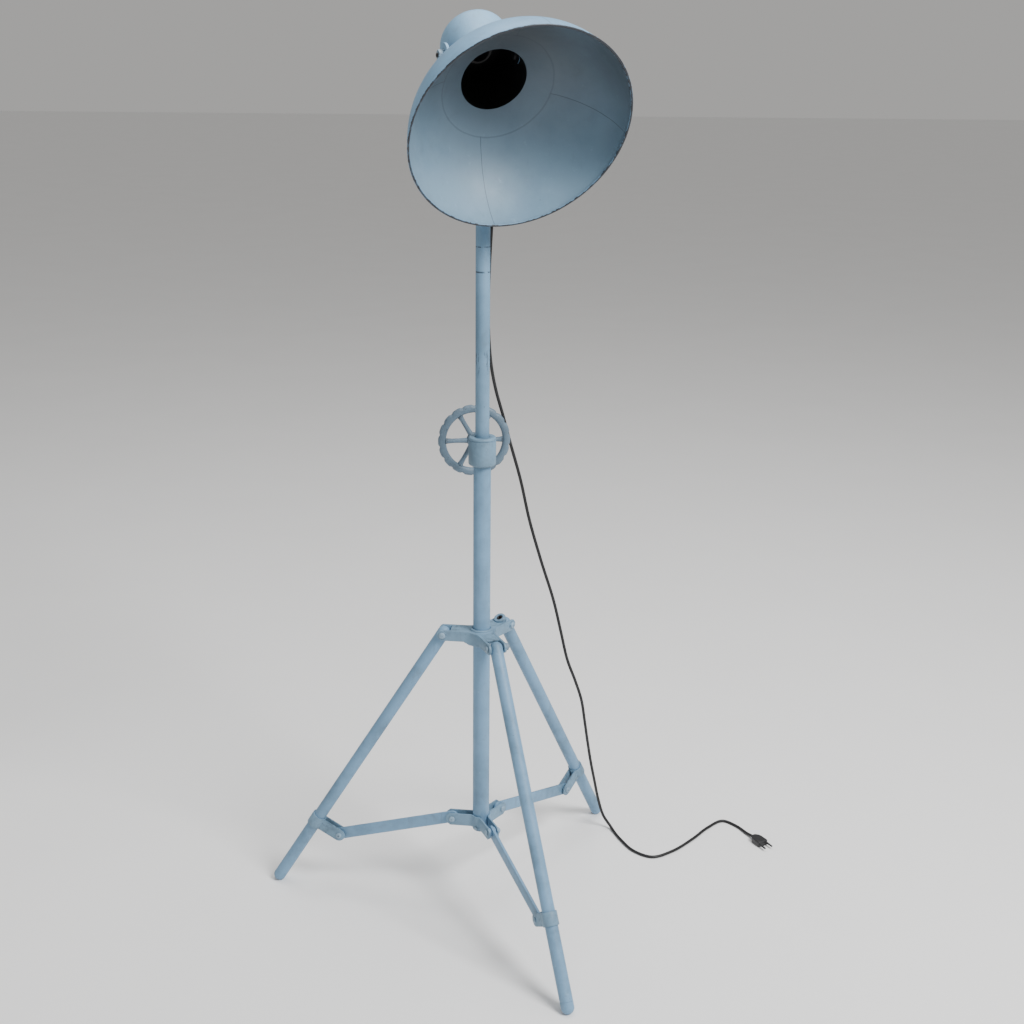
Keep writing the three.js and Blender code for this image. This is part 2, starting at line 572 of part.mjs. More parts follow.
function yoke() {
  const strap = new THREE.Shape();
  strap.moveTo(-17, YOKE.plateBottom);
  strap.lineTo(9, YOKE.plateBottom);
  strap.lineTo(19, -14);
  strap.absarc(0, 0, 21, -0.6, Math.PI + 0.6, false);
  strap.lineTo(-19, -14);
  strap.closePath();
  const outside = YOKE.inside + YOKE.thick;
  const base = new THREE.BoxGeometry(26, 2 * outside - 1, YOKE.plateTop - YOKE.plateBottom);
  base.translate(-4, 0, (YOKE.plateTop + YOKE.plateBottom) / 2);
  const stemTop = YOKE.plateBottom + 2;
  const stem = turned([
    [0, stemTop], [16, stemTop], [16, LIFT.top + 1.5 - HEAD.height], [14.5, LIFT.top + GAP - HEAD.height],
    [10.8, LIFT.top + GAP - HEAD.height], [10.8, LIFT.top - 60 - HEAD.height], [0, LIFT.top - 60 - HEAD.height],
  ], ROUND);
  stem.translate(-HEAD.forward, 0, 0);
  const body = join(plate(strap, YOKE.inside, outside), plate(strap, -outside, -YOKE.inside), base, stem);
  return cut(body, rod(YOKE.boltRadius + 0.4, -100, 100, 12, 'y'));
}

// ---- cord ---------------------------------------------------------------------------------
const wholeCord = new THREE.CatmullRomCurve3(
  CORD_ROUTE.map((point) => new THREE.Vector3(...point)),
  false,
  'centripetal',
);

// Length of cord from its exit to one of the route's points.
function lengthTo(pointIndex) {
  const perSpan = 40;
  return wholeCord.getLengths((CORD_ROUTE.length - 1) * perSpan)[pointIndex * perSpan];
}

// Part of the cord between two route points, less the small gap that neighbouring pieces keep.
class Stretch extends THREE.Curve {
  constructor(fromPoint, toPoint) {
    super();
    const total = lengthTo(CORD_ROUTE.length - 1);
    this.from = (lengthTo(fromPoint) + GAP / 2) / total;
    this.to = (lengthTo(toPoint) - GAP / 2) / total;
  }

  getPoint(share, target = new THREE.Vector3()) {
    return wholeCord.getPointAt(this.from + (this.to - this.from) * share, target);
  }
}

function cordTube(fromPoint, toPoint, steps) {
  const section = new THREE.Shape();
  section.absarc(0, 0, CORD_RADIUS, 0, 2 * Math.PI, false);
  return new THREE.ExtrudeGeometry(section, {
    steps,
    extrudePath: new Stretch(fromPoint, toPoint),
    curveSegments: 4,
    bevelEnabled: false,
  });
}

function plug() {
  const core = new THREE.Shape();
  core.moveTo(4.2, 0);
  core.lineTo(13, 9);
  core.lineTo(13, PLUG.length);
  core.lineTo(-13, PLUG.length);
  core.lineTo(-13, 9);
  core.lineTo(-4.2, 0);
  core.closePath();
  const body = plate(core, -PLUG.thick / 2, PLUG.thick / 2).rotateX(-Math.PI / 2);
  const pins = [-1, 1].map((side) => {
    const pin = rod(PLUG.pinRadius, PLUG.length - 2, PLUG.length + PLUG.pinLength, 12, 'y');
    return pin.translate(side * PLUG.pinSpread, 0, 0);
  });
  return join(body, ...pins);
}

function buildCord() {
  const cord = new THREE.Group();
  const last = CORD_ROUTE.length - 1;
  add(cord, 'cord_lead', cordTube(0, LEAD_END, 14), 'cord');
  add(cord, 'cord_swivel', cordTube(LEAD_END, SWIVEL_END, 6), 'cord');
  add(cord, 'cord_drop', cordTube(SWIVEL_END, last, 62), 'cord');
  const [before, end] = [last - 1, last].map((index) => new THREE.Vector3(...CORD_ROUTE[index]));
  const heading = end.clone().sub(before).setZ(0).normalize();
  const start = end.clone().addScaledVector(heading, 3 * GAP);
  const place = frameAt(cord, { x: start.x, y: start.y, z: start.z, turn: Math.atan2(-heading.x, heading.y) });
  add(place, 'plug', plug(), 'black');
  return cord;
}

// ---- assembly -----------------------------------------------------------------------------
buildMast();
buildWheel();
buildHubs();
Object.keys(ARMS).forEach(buildArm);
buildHead();
lamp.updateMatrixWorld(true);
const bounds = new THREE.Box3().setFromObject(lamp, true);
lamp.add(buildCord());
lamp.position.set(-(bounds.min.x + bounds.max.x) / 2, -(bounds.min.y + bounds.max.y) / 2, -bounds.min.z);
lamp.updateMatrixWorld(true);

export default lamp;
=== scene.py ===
"""Looks of a folding tripod floor lamp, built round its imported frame. Lengths are millimetres in
the stand's own axes, mast axis at x = y = 0, until place_piece() moves them into the frame."""
import math

import bmesh
import bpy
from mathutils import Matrix, Vector


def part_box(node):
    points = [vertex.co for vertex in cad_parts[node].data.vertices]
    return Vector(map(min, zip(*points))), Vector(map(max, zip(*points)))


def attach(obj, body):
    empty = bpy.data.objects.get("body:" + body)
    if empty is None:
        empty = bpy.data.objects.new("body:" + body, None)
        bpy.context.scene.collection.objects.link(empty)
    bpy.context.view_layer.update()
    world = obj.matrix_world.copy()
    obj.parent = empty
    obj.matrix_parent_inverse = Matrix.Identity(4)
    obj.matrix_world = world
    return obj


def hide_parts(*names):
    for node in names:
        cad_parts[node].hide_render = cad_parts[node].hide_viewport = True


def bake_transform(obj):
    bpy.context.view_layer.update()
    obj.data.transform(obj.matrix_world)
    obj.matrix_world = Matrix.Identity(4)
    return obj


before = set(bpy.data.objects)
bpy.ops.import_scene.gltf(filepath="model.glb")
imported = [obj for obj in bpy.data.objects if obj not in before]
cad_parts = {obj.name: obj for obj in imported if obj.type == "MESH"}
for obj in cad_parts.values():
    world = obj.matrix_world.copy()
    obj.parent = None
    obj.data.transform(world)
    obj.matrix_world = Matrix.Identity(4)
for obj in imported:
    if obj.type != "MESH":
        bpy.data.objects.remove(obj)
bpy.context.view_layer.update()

# ---- sizes, in millimetres ------------------------------------------------------------------
ARMS = {"front": 21.94, "right": 141.94, "left": -98.06}
HEAD_SIDE = {"front": -1, "right": -1, "left": 1}
MAST = {"radius": 16.85, "bore": 13.8, "bottom": 160, "top": 990}
LIFT = {"radius": 13.45, "bore": 11.15, "bottom": 714, "top": 1563.7}
COLLAR = {"radius": 26.5, "bottom": 941, "neck": 3.5, "top": 996, "wheel_height": 961.5}
HUB_BORE = 17.15
LEG = {"radius": 12.7, "bore": 10.7, "tilt": 31.66, "out": 76, "up": 590, "length": 679.2}
STRUT = {"tilt": 13.76, "length": 248.12, "width": 24.5, "thick": 5.5, "out": 59, "up": 179}
BRACKET = {"along": 517.6, "reach": 56, "width": 26.5, "inner": 5.9, "outer": 9.4, "band": 15.6}
UPPER = {"outer": 18.5, "bottom": 578.5, "top": 600.5, "skirt": 573, "fillet": 40}
LOWER = {"inner": 7.4, "outer": 10.9, "bottom": 165, "top": 191, "end": 72, "tab": 156.5}
WHEEL = {"azimuth": -171, "out": 101.3, "radius": 72, "rim": 7.9, "lobes": 18, "spokes": 6}
HEAD = {"azimuth": 20.76, "tilt": 31.09, "forward": 6, "height": 1689, "drop": 10.6}
CAP = {"radius": 64, "wall": 2, "front": 57, "shoulder": -49, "depth": 42, "power": 2.3}
SHADE = {"sheet": 1.7, "neck_back": 48, "neck_front": 58.3, "neck": 61.7, "seam_out": 82.2, "seam": 103}
SHADE_MIDDLE = (141.2, 171)
SHADE_RIM = {"out": 213, "radius": 197.6, "bead": 2.2}
SEAM_ANGLE = -92.5
SEAM_LEAN = 0.0855
RING_SEAM = 0.0838
CLAMP_BANDS = ((1.355, 0.0011), (1.309, 0.0016))
RUBBED_LEVEL = 1.14
YOKE = {"inside": 72, "thick": 5, "plate_bottom": -113}
GLAND = {"out": -74.7, "up": -64.7}
LOCK_BOSS = {"tilt": -117, "x": 62.5, "z": 599.1}
TAB_AZIMUTH = -30
CORD_DIAMETER = 6.5
CORD_ROUTE = [
    (-40.2, 105.9, 1666.7), (-44.5, 117.5, 1663), (-50.5, 132, 1655), (-54, 145, 1642), (-54, 152, 1625),
    (-50, 153, 1607), (-43, 147, 1590), (-33, 135, 1574), (-22, 119, 1559), (-11, 100, 1543),
    (-2, 80, 1526), (5, 62, 1506), (10, 50, 1483), (13, 42, 1456), (14.8, 37.5, 1424), (15.6, 38, 1387),
    (14.1, 43, 1353), (12, 50, 1308), (10, 66, 1226), (12.2, 79, 1165), (17.3, 92, 1110),
    (26.5, 108, 1060), (40.8, 127, 1005), (54.4, 140, 951), (77.8, 154, 864), (97.3, 164, 775),
    (122.5, 176, 684), (151, 188, 590), (167.8, 197, 518), (184.5, 206, 445), (203, 213, 393),
    (218, 220, 344), (226.4, 227, 293), (234.5, 236, 240), (243.6, 246, 185), (254.4, 257, 130),
    (266, 267, 74), (279, 273, 31), (294, 268, 9), (303, 246, 3.4), (314, 215, 3.4), (339, 166, 3.4),
    (377, 141, 3.4), (424, 165, 3.4), (476, 217, 3.4), (518, 268, 3.4), (556, 298, 3.4), (584, 275, 3.4),
    (603, 240, 4.5), (613, 222, 7.3),
]
LEAD_END = 11
SWIVEL_END = 15

# ---- places -----------------------------------------------------------------------------------
mast_low, mast_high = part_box("mast_outer_tube")
MAST_AXIS = Vector(((mast_low.x + mast_high.x) / 2, (mast_low.y + mast_high.y) / 2, 0))
TO_FRAME = Matrix.Translation(MAST_AXIS) @ Matrix.Scale(0.001, 4)
TO_X = Matrix.Rotation(math.radians(90), 4, "Y")
TO_Y = Matrix.Rotation(math.radians(-90), 4, "X")
UPRIGHT = Matrix.Rotation(math.radians(90), 4, "X")


def move(x=0, y=0, z=0):
    return Matrix.Translation((x, y, z))


def turn(angle, axis):
    return Matrix.Rotation(math.radians(angle), 4, axis)


def facing(azimuth):
    return turn(azimuth - 90, "Z")


HEAD_FRONT = math.radians(HEAD["azimuth"])
SWIVEL = move(
    HEAD["forward"] * math.sin(HEAD_FRONT), -HEAD["forward"] * math.cos(HEAD_FRONT), HEAD["height"]
) @ facing(HEAD["azimuth"])
TILTED = SWIVEL @ turn(HEAD["tilt"], "Y")
SHADE_AXIS = TILTED @ move(z=-HEAD["drop"])
AT_GLAND = TILTED @ move(GLAND["out"], 0, GLAND["up"]) @ turn(-135, "Y")
AT_WHEEL = move(z=COLLAR["wheel_height"]) @ facing(WHEEL["azimuth"])
AT_BOSS = facing(ARMS["right"]) @ move(LOCK_BOSS["x"], 0, LOCK_BOSS["z"]) @ turn(LOCK_BOSS["tilt"], "Y")
AT_TAB = facing(TAB_AZIMUTH) @ move(z=LOWER["tab"] + 9)


# ---- camera -------------------------------------------------------------------------------------
def set_camera():
    yaw, pitch, roll = (math.radians(a) for a in (1.208, 17.892, 0.581))
    level = Vector((math.sin(yaw), math.cos(yaw), 0))
    side = Vector((math.cos(yaw), -math.sin(yaw), 0))
    up = Vector((0, 0, 1))
    forward = level * math.cos(pitch) - up * math.sin(pitch)
    above = up * math.cos(pitch) + level * math.sin(pitch)
    right = side * math.cos(roll) + above * math.sin(roll)
    top = above * math.cos(roll) - side * math.sin(roll)
    data = bpy.data.cameras.new("camera")
    data.sensor_width = 36
    data.lens = 52.54
    data.clip_end = 100
    camera = bpy.data.objects.new("camera", data)
    bpy.context.scene.collection.objects.link(camera)
    spot = MAST_AXIS + Vector((0, -2.74846, 1.73248))
    turned = Matrix((right, top, -forward)).transposed().to_4x4()
    camera.matrix_world = Matrix.Translation(spot) @ turned
    bpy.context.scene.camera = camera


# ---- materials ----------------------------------------------------------------------------------
class Nodes:
    """Short hand for building one material's node tree."""

    def __init__(self, name):
        self.material = bpy.data.materials.new(name)
        self.material.use_nodes = True
        self.tree = self.material.node_tree
        self.shader = self.tree.nodes["Principled BSDF"]
        self.where = self.tree.nodes.new("ShaderNodeTexCoord").outputs["Object"]

    def link(self, source, target):
        self.tree.links.new(source, target)

    def mapped(self, scale=(1, 1, 1), location=(0, 0, 0), rotation=(0, 0, 0), kind="POINT"):
        node = self.tree.nodes.new("ShaderNodeMapping")
        node.vector_type = kind
        node.inputs["Location"].default_value = location
        node.inputs["Rotation"].default_value = rotation
        node.inputs["Scale"].default_value = scale
        self.link(self.where, node.inputs["Vector"])
        return node.outputs["Vector"]

    def noise(self, scale, detail=4, roughness=0.55, vector=None, distortion=0):
        node = self.tree.nodes.new("ShaderNodeTexNoise")
        node.inputs["Scale"].default_value = scale
        node.inputs["Detail"].default_value = detail
        node.inputs["Roughness"].default_value = roughness
        node.inputs["Distortion"].default_value = distortion
        self.link(vector or self.where, node.inputs["Vector"])
        return node.outputs["Fac"]

    def ramp(self, value, low, high, flip=False):
        node = self.tree.nodes.new("ShaderNodeMapRange")
        node.interpolation_type = "SMOOTHSTEP"
        node.inputs["From Min"].default_value = low
        node.inputs["From Max"].default_value = high
        node.inputs["To Min"].default_value = 1 if flip else 0
        node.inputs["To Max"].default_value = 0 if flip else 1
        self.link(value, node.inputs["Value"])
        return node.outputs["Result"]

    def math(self, operation, first, second=None, third=None):
        node = self.tree.nodes.new("ShaderNodeMath")
        node.operation = operation
        for socket, value in zip(node.inputs, (first, second, third)):
            if value is None:
                continue
            if isinstance(value, (int, float)):
                socket.default_value = value
            else:
                self.link(value, socket)
        return node.outputs["Value"]

    def mix(self, share, first, second):
        node = self.tree.nodes.new("ShaderNodeMix")
        node.data_type = "RGBA"
        colours = [socket for socket in node.inputs if socket.type == "RGBA"]
        for socket, value in zip(colours, (first, second)):
            if isinstance(value, tuple):
                socket.default_value = (*value, 1)
            else:
                self.link(value, socket)
        factor = next(socket for socket in node.inputs if socket.name == "Factor" and socket.type == "VALUE")
        if isinstance(share, (int, float)):
            factor.default_value = share
        else:
            self.link(share, factor)
        return next(socket for socket in node.outputs if socket.type == "RGBA")

    def bump(self, height, strength, distance):
        node = self.tree.nodes.new("ShaderNodeBump")
        node.inputs["Strength"].default_value = strength
        node.inputs["Distance"].default_value = distance
        self.link(height, node.inputs["Height"])
        self.link(node.outputs["Normal"], self.shader.inputs["Normal"])

    def done(self, colour, roughness):
        self.link(colour, self.shader.inputs["Base Color"])
        if isinstance(roughness, (int, float)):
            self.shader.inputs["Roughness"].default_value = roughness
        else:
            self.link(roughness, self.shader.inputs["Roughness"])
        return self.material


PALE = (0.165, 0.305, 0.46)
DEEP = (0.10, 0.185, 0.27)
GRIME = (0.085, 0.09, 0.095)
CHIP = (0.012, 0.016, 0.024)
CHALK = (0.27, 0.42, 0.56)


def painted(name, pale=PALE, deep=DEEP, chips=0.72, rough_cast=0.0, marks=None, cloudy=1.0, painted_shade_in=None):
    """Old pale blue-grey enamel: cloudy tone, grime, scuffs, small chips and a soft orange peel."""
    n = Nodes(name)
    cloud = n.ramp(n.noise(9, 6, 0.62), 0.40, 0.70)
    colour = n.mix(n.math("MULTIPLY", cloud, cloudy), pale, deep)
    grime = n.ramp(n.noise(23, 8, 0.7, distortion=0.6), 0.52, 0.78)
    colour = n.mix(n.math("MULTIPLY", grime, 0.42 * cloudy), colour, GRIME)
    streak = n.ramp(n.noise(1, 5, 0.6, n.mapped((95, 95, 7))), 0.56, 0.8)
    colour = n.mix(n.math("MULTIPLY", streak, 0.30 * cloudy), colour, GRIME)
    chalk = n.ramp(n.noise(60, 6, 0.75), 0.6, 0.74)
    colour = n.mix(n.math("MULTIPLY", chalk, 0.45), colour, CHALK)
    speck = n.ramp(n.noise(210, 3, 0.6), chips, chips + 0.03)
    worn = speck
    if rough_cast:
        edge = n.tree.nodes.new("ShaderNodeNewGeometry").outputs["Pointiness"]
        rub = n.math("MULTIPLY", n.ramp(edge, 0.535, 0.58), n.ramp(n.noise(120, 5, 0.7), 0.45, 0.6))
        worn = n.math("MAXIMUM", worn, n.math("MULTIPLY", rub, 0.7))
    if marks:
        worn = n.math("MAXIMUM", worn, marks(n))
    # Painted shade: where the given mask says, a dark grey is mixed over the tone.
    if painted_shade_in:
        colour = n.mix(painted_shade_in(n), colour, (0.034, 0.035, 0.036))
    colour = n.mix(worn, colour, CHIP)
    gloss = n.math("MULTIPLY_ADD", n.noise(40, 5, 0.6), 0.28, 0.38)
    fine = n.noise(420, 3, 0.5)
    coarse = n.noise(75, 5, 0.6)
    height = n.math("MULTIPLY_ADD", coarse, 0.15 + rough_cast, n.math("MULTIPLY", fine, 0.35))
    height = n.math("SUBTRACT", height, n.math("MULTIPLY", worn, 0.4))
    n.bump(height, 0.35 + 0.3 * rough_cast, 0.0009)
    return n.done(colour, gloss)


def shade_place(n):
    """Distance along the shade's axis, and across it to the right and upward."""
    apex = TO_FRAME @ SHADE_AXIS.to_translation()
    lay = SHADE_AXIS.to_euler("XYZ")
    local = n.mapped(location=apex, rotation=tuple(lay), kind="TEXTURE")
    split = n.tree.nodes.new("ShaderNodeSeparateXYZ")
    n.link(local, split.inputs["Vector"])
    return split.outputs["X"], split.outputs["Y"], split.outputs["Z"]


def bowl_painted_shade(n):
    """Painted shade inside the bowl: darker over the top, round the neck and towards the sides."""
    along, across, height = shade_place(n)
    drift = n.math("MULTIPLY_ADD", n.noise(6, 4, 0.6), 0.05, -0.025)
    above = n.ramp(n.math("ADD", height, drift), -0.13, 0.15)
    deep = n.ramp(n.math("ADD", along, drift), 0.055, 0.15, flip=True)
    side = n.ramp(n.math("ADD", n.math("ABSOLUTE", across), drift), 0.07, 0.2)
    total = n.math("ADD", n.math("MULTIPLY", above, 0.72), n.math("MULTIPLY", deep, 0.32))
    return n.math("MINIMUM", n.math("ADD", total, n.math("MULTIPLY", side, 0.16)), 0.93)


def shade_marks(n):
    """Rim edge chipped to dark primer, the joint of neck and bowl, and the joints of its four sheets."""
    along, across, height = shade_place(n)
    wobble = n.math("MULTIPLY_ADD", n.noise(35, 3, 0.6), 0.003, -0.0015)
    wavering = n.math("ADD", along, n.math("MULTIPLY", wobble, 0.3))
    seam = n.math("ABSOLUTE", n.math("SUBTRACT", wavering, RING_SEAM))
    ring = n.math("MULTIPLY", n.ramp(seam, 0.0003, 0.0009, flip=True), 0.22)
    line = None
    for quarter in range(4):
        angle = math.radians(SEAM_ANGLE + 90 * quarter)
        cosine, sine = math.cos(angle), math.sin(angle)
        off = n.math("SUBTRACT", n.math("MULTIPLY", across, sine), n.math("MULTIPLY", height, cosine))
        ahead = n.math("ADD", n.math("MULTIPLY", across, cosine), n.math("MULTIPLY", height, sine))
        lean = n.math("MULTIPLY", n.math("SUBTRACT", SHADE_RIM["radius"] / 1000, ahead), SEAM_LEAN)
        off = n.math("SUBTRACT", off, lean)
        off = n.math("ABSOLUTE", n.math("ADD", off, n.math("MULTIPLY", wobble, 0.4)))
        one = n.math("MULTIPLY", n.ramp(off, 0.0003, 0.0009, flip=True), n.ramp(ahead, 0.099, 0.101))
        line = one if line is None else n.math("MAXIMUM", line, one)
    line = n.math("MULTIPLY", line, 0.55)
    edge = n.math("ADD", along, n.math("MULTIPLY_ADD", n.noise(90, 4, 0.7), 0.010, -0.005))
    top = n.math("MULTIPLY", n.ramp(height, 0.03, 0.17), 0.0012)
    chips = n.ramp(n.math("ADD", edge, top), 0.2118, 0.2124)
    bare = n.math("MULTIPLY", n.ramp(along, 0.2116, 0.2126), 0.9)
    return n.math("MAXIMUM", n.math("MAXIMUM", ring, line), n.math("MAXIMUM", chips, bare))


def tube_marks(n):
    """Dark bands left by the clamp and a rubbed patch on the sliding tube."""
    split = n.tree.nodes.new("ShaderNodeSeparateXYZ")
    n.link(n.where, split.inputs["Vector"])
    level = split.outputs["Z"]
    broken = n.ramp(n.noise(120, 4, 0.7), 0.42, 0.56)
    total = None
    for height, half in CLAMP_BANDS:
        away = n.math("ABSOLUTE", n.math("SUBTRACT", level, height))
        band = n.math("MULTIPLY", n.ramp(away, half * 0.6, half * 1.3, flip=True), broken)
        total = band if total is None else n.math("MAXIMUM", total, band)
    from_patch = n.math("ABSOLUTE", n.math("SUBTRACT", level, RUBBED_LEVEL))
    patch = n.math("MULTIPLY", n.ramp(from_patch, 0.01, 0.035, flip=True),
                   n.ramp(n.noise(1, 6, 0.7, n.mapped((160, 160, 30))), 0.55, 0.62))
    return n.math("MULTIPLY", n.math("MAXIMUM", total, patch), 0.8)


def leg_scratches(n):
    """Long narrow rubs along the legs."""
    streak = n.noise(1, 6, 0.7, n.mapped((170, 170, 26), rotation=(0.5, 0.3, 0)))
    where = n.ramp(n.noise(9, 3, 0.5), 0.56, 0.66)
    return n.math("MULTIPLY", n.math("MULTIPLY", n.ramp(streak, 0.6, 0.66), where), 0.75)


def black_plastic(name, colour=(0.014, 0.014, 0.016), roughness=0.45, dusty=0.25):
    n = Nodes(name)
    dust = n.ramp(n.noise(45, 6, 0.7), 0.55, 0.85)
    tone = n.mix(n.math("MULTIPLY", dust, dusty), colour, (0.09, 0.085, 0.08))
    n.bump(n.noise(600, 3, 0.5), 0.15, 0.0004)
    return n.done(tone, n.math("MULTIPLY_ADD", n.noise(30, 4, 0.6), 0.2, roughness - 0.1))


def dark_steel(name):
    n = Nodes(name)
    tone = n.mix(n.ramp(n.noise(60, 6, 0.7), 0.4, 0.7), (0.035, 0.035, 0.04), (0.09, 0.08, 0.07))
    n.shader.inputs["Metallic"].default_value = 0.85
    n.bump(n.noise(300, 4, 0.6), 0.2, 0.0004)
    return n.done(tone, 0.42)


TUBE = painted("tube_enamel", marks=leg_scratches)
SLIDE_TUBE = painted("slide_tube_enamel", pale=(0.155, 0.275, 0.40), marks=tube_marks, cloudy=0.8)
MAST_TUBE = painted("mast_enamel", cloudy=0.7)
SHEET = painted("sheet_enamel", pale=(0.18, 0.35, 0.53), chips=0.75, marks=shade_marks, cloudy=0.5)
# Inside of the bowl: the same enamel as outside made darker and greyer, painted shade, with the bowl's painted shade
# mask on top.
SHADED_BOWL = painted(
    "bowl_inside_shaded_enamel", pale=(0.185, 0.29, 0.385), chips=0.76, marks=shade_marks, cloudy=0.4,
    painted_shade_in=bowl_painted_shade,
)
CAP_ENAMEL = painted("cap_enamel", pale=(0.20, 0.37, 0.54), chips=0.74, cloudy=0.6)
CASTING = painted("casting_enamel", pale=(0.165, 0.285, 0.40), deep=(0.10, 0.17, 0.235), rough_cast=0.5)
# Handwheel enamel, much darker than the other castings.
WHEEL_CAST = painted(
    "wheel_enamel", pale=(0.115, 0.175, 0.235), deep=(0.07, 0.105, 0.14), rough_cast=0.6, chips=0.68
)
FASTENER = painted(
    "fastener_enamel", pale=(0.25, 0.37, 0.48), deep=(0.15, 0.22, 0.29), chips=0.68, rough_cast=0.3
)
# Near black for the inside of the cap, the inside of the shade's neck and the trunnion bolts: painted shade, where
# the cavity lies in shade.
PAINTED_SHADE_BLACK = black_plastic("cap_inside_painted_shade", (0.004, 0.004, 0.005), 0.6, 0.08)
BLACK = black_plastic("black_moulding", dusty=0.15)
CORD = black_plastic("cord_sheath", (0.004, 0.004, 0.005), 0.5, 0.06)
STEEL = dark_steel("blackened_steel")


# ---- mesh helpers -------------------------------------------------------------------------------
def rounded(bm, width, segments=2, angle=25):
    """Rounds the edges where faces meet at more than the angle."""
    edges = [e for e in bm.edges if len(e.link_faces) == 2 and e.calc_face_angle(0) > math.radians(angle)]
    bmesh.ops.bevel(
        bm, geom=edges, offset=width, offset_type="OFFSET", segments=segments, profile=0.5,
        affect="EDGES", material=-1, clamp_overlap=True,
    )
    return bm


def lathe(profile, segments=48, ring=False, round_off=0.0):
    """Profile of (radius, height) spun about Z; a ring's profile closes on itself."""
    bm = bmesh.new()
    verts = [bm.verts.new((radius, 0, height)) for radius, height in profile]
    edges = [bm.edges.new(pair) for pair in zip(verts, verts[1:])]
    if ring:
        edges.append(bm.edges.new((verts[-1], verts[0])))
    bmesh.ops.spin(
        bm, geom=verts + edges, cent=(0, 0, 0), axis=(0, 0, 1), angle=2 * math.pi,
        steps=segments, use_merge=True, use_duplicate=False,
    )
    bmesh.ops.remove_doubles(bm, verts=bm.verts, dist=0.001)
    bmesh.ops.recalc_face_normals(bm, faces=bm.faces)
    if round_off:
        rounded(bm, round_off)
    return bm


def slab(outline, low, high, round_off=0.0, segments=2):
    """Flat outline in X and Y given a thickness along Z."""
    bm = bmesh.new()
    face = bm.faces.new([bm.verts.new((x, y, low)) for x, y in outline])
    grown = bmesh.ops.extrude_face_region(bm, geom=[face])
    top = [item for item in grown["geom"] if isinstance(item, bmesh.types.BMVert)]
    bmesh.ops.translate(bm, verts=top, vec=(0, 0, high - low))
    bmesh.ops.recalc_face_normals(bm, faces=bm.faces)
    if round_off:
        rounded(bm, round_off, segments)
    return bm


def arc(cx, cy, radius, start, end, count):
    angles = [math.radians(start + (end - start) * i / count) for i in range(count + 1)]
    return [(cx + radius * math.cos(a), cy + radius * math.sin(a)) for a in angles]


def shave(bm, point, outward):
    """Cuts off what lies beyond a plane and closes the cut."""
    cut = bmesh.ops.bisect_plane(
        bm, geom=bm.verts[:] + bm.edges[:] + bm.faces[:], plane_co=point, plane_no=outward, clear_outer=True
    )
    edges = [item for item in cut["geom_cut"] if isinstance(item, bmesh.types.BMEdge)]
    bmesh.ops.edgeloop_fill(bm, edges=edges)
    bmesh.ops.recalc_face_normals(bm, faces=bm.faces)
    return bm


class Piece:
    """One visible piece, gathered from closed shapes and then placed in the frame."""

    def __init__(self, name):
        self.name = name
        self.bm = bmesh.new()

    def take(self, shape, place=Matrix()):
        shape.transform(place)
        shape.normal_update()
        if place.to_3x3().determinant() < 0:
            bmesh.ops.reverse_faces(shape, faces=shape.faces)
        carrier = bpy.data.meshes.new("carrier")
        shape.to_mesh(carrier)
        shape.free()
        self.bm.from_mesh(carrier)
        bpy.data.meshes.remove(carrier)
        return self

    def place_piece(self, place, body, material, slot, nodes, smooth=38, extra=(), inner=None):
        self.bm.transform(place)
        if inner:
            for face in self.bm.faces:
                face.material_index = inner(face)
        self.bm.transform(TO_FRAME)
        mesh = bpy.data.meshes.new(self.name)
        self.bm.to_mesh(mesh)
        self.bm.free()
        mesh.polygons.foreach_set("use_smooth", [True] * len(mesh.polygons))
        mesh.set_sharp_from_angle(angle=math.radians(smooth))
        mesh.materials.append(material)
        for other in extra:
            mesh.materials.append(other)
        piece = bpy.data.objects.new(self.name, mesh)
        bpy.context.scene.collection.objects.link(piece)
        if body:
            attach(piece, body)
        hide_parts(*nodes)
        return piece


def domed_bolt(side, head, height, face, shank, tip):
    """Round-headed bolt along Y; side is the sign of Y where its head sits."""
    angles = (0, 0.35, 0.7, 1.05, 1.35)
    dome = [(head * math.cos(a), face + 0.8 + (height - 0.8) * math.sin(a)) for a in angles]
    profile = [(0, tip), (shank, tip), (shank, face), (head, face)] + dome + [(1.6, face + height - 0.1)]
    profile += [(1.2, face + height - 1.1), (0, face + height - 1.1)]
    return lathe(profile, 28), TO_Y if side > 0 else turn(180, "X") @ TO_Y


def hex_nut(across, low, high):
    """Six-sided nut with chamfered corners."""
    corner = across / math.sqrt(3)
    corners = [math.radians(60 * i) for i in range(6)]
    outline = [(corner * math.cos(a), corner * math.sin(a)) for a in corners]
    body = slab(outline, low, high, 0.5, 2)
    return body


# ---- cord ---------------------------------------------------------------------------------------
def smooth_route(points, per_span=8):
    """Centripetal curve through the points; returns its points."""
    spots = [Vector(p) for p in points]
    spots = [2 * spots[0] - spots[1]] + spots + [2 * spots[-1] - spots[-2]]
    line = []
    for a, b, c, d in zip(spots, spots[1:], spots[2:], spots[3:]):
        t0 = 0
        t1 = t0 + (b - a).length ** 0.5
        t2 = t1 + (c - b).length ** 0.5
        t3 = t2 + (d - c).length ** 0.5
        for i in range(per_span):
            t = t1 + (t2 - t1) * i / per_span
            ab = a * (t1 - t) / (t1 - t0) + b * (t - t0) / (t1 - t0)
            bc = b * (t2 - t) / (t2 - t1) + c * (t - t1) / (t2 - t1)
            cd = c * (t3 - t) / (t3 - t2) + d * (t - t2) / (t3 - t2)
            abc = ab * (t2 - t) / (t2 - t0) + bc * (t - t0) / (t2 - t0)
            bcd = bc * (t3 - t) / (t3 - t1) + cd * (t - t1) / (t3 - t1)
            line.append(abc * (t2 - t) / (t2 - t1) + bcd * (t - t1) / (t2 - t1))
    line.append(spots[-2])
    return line


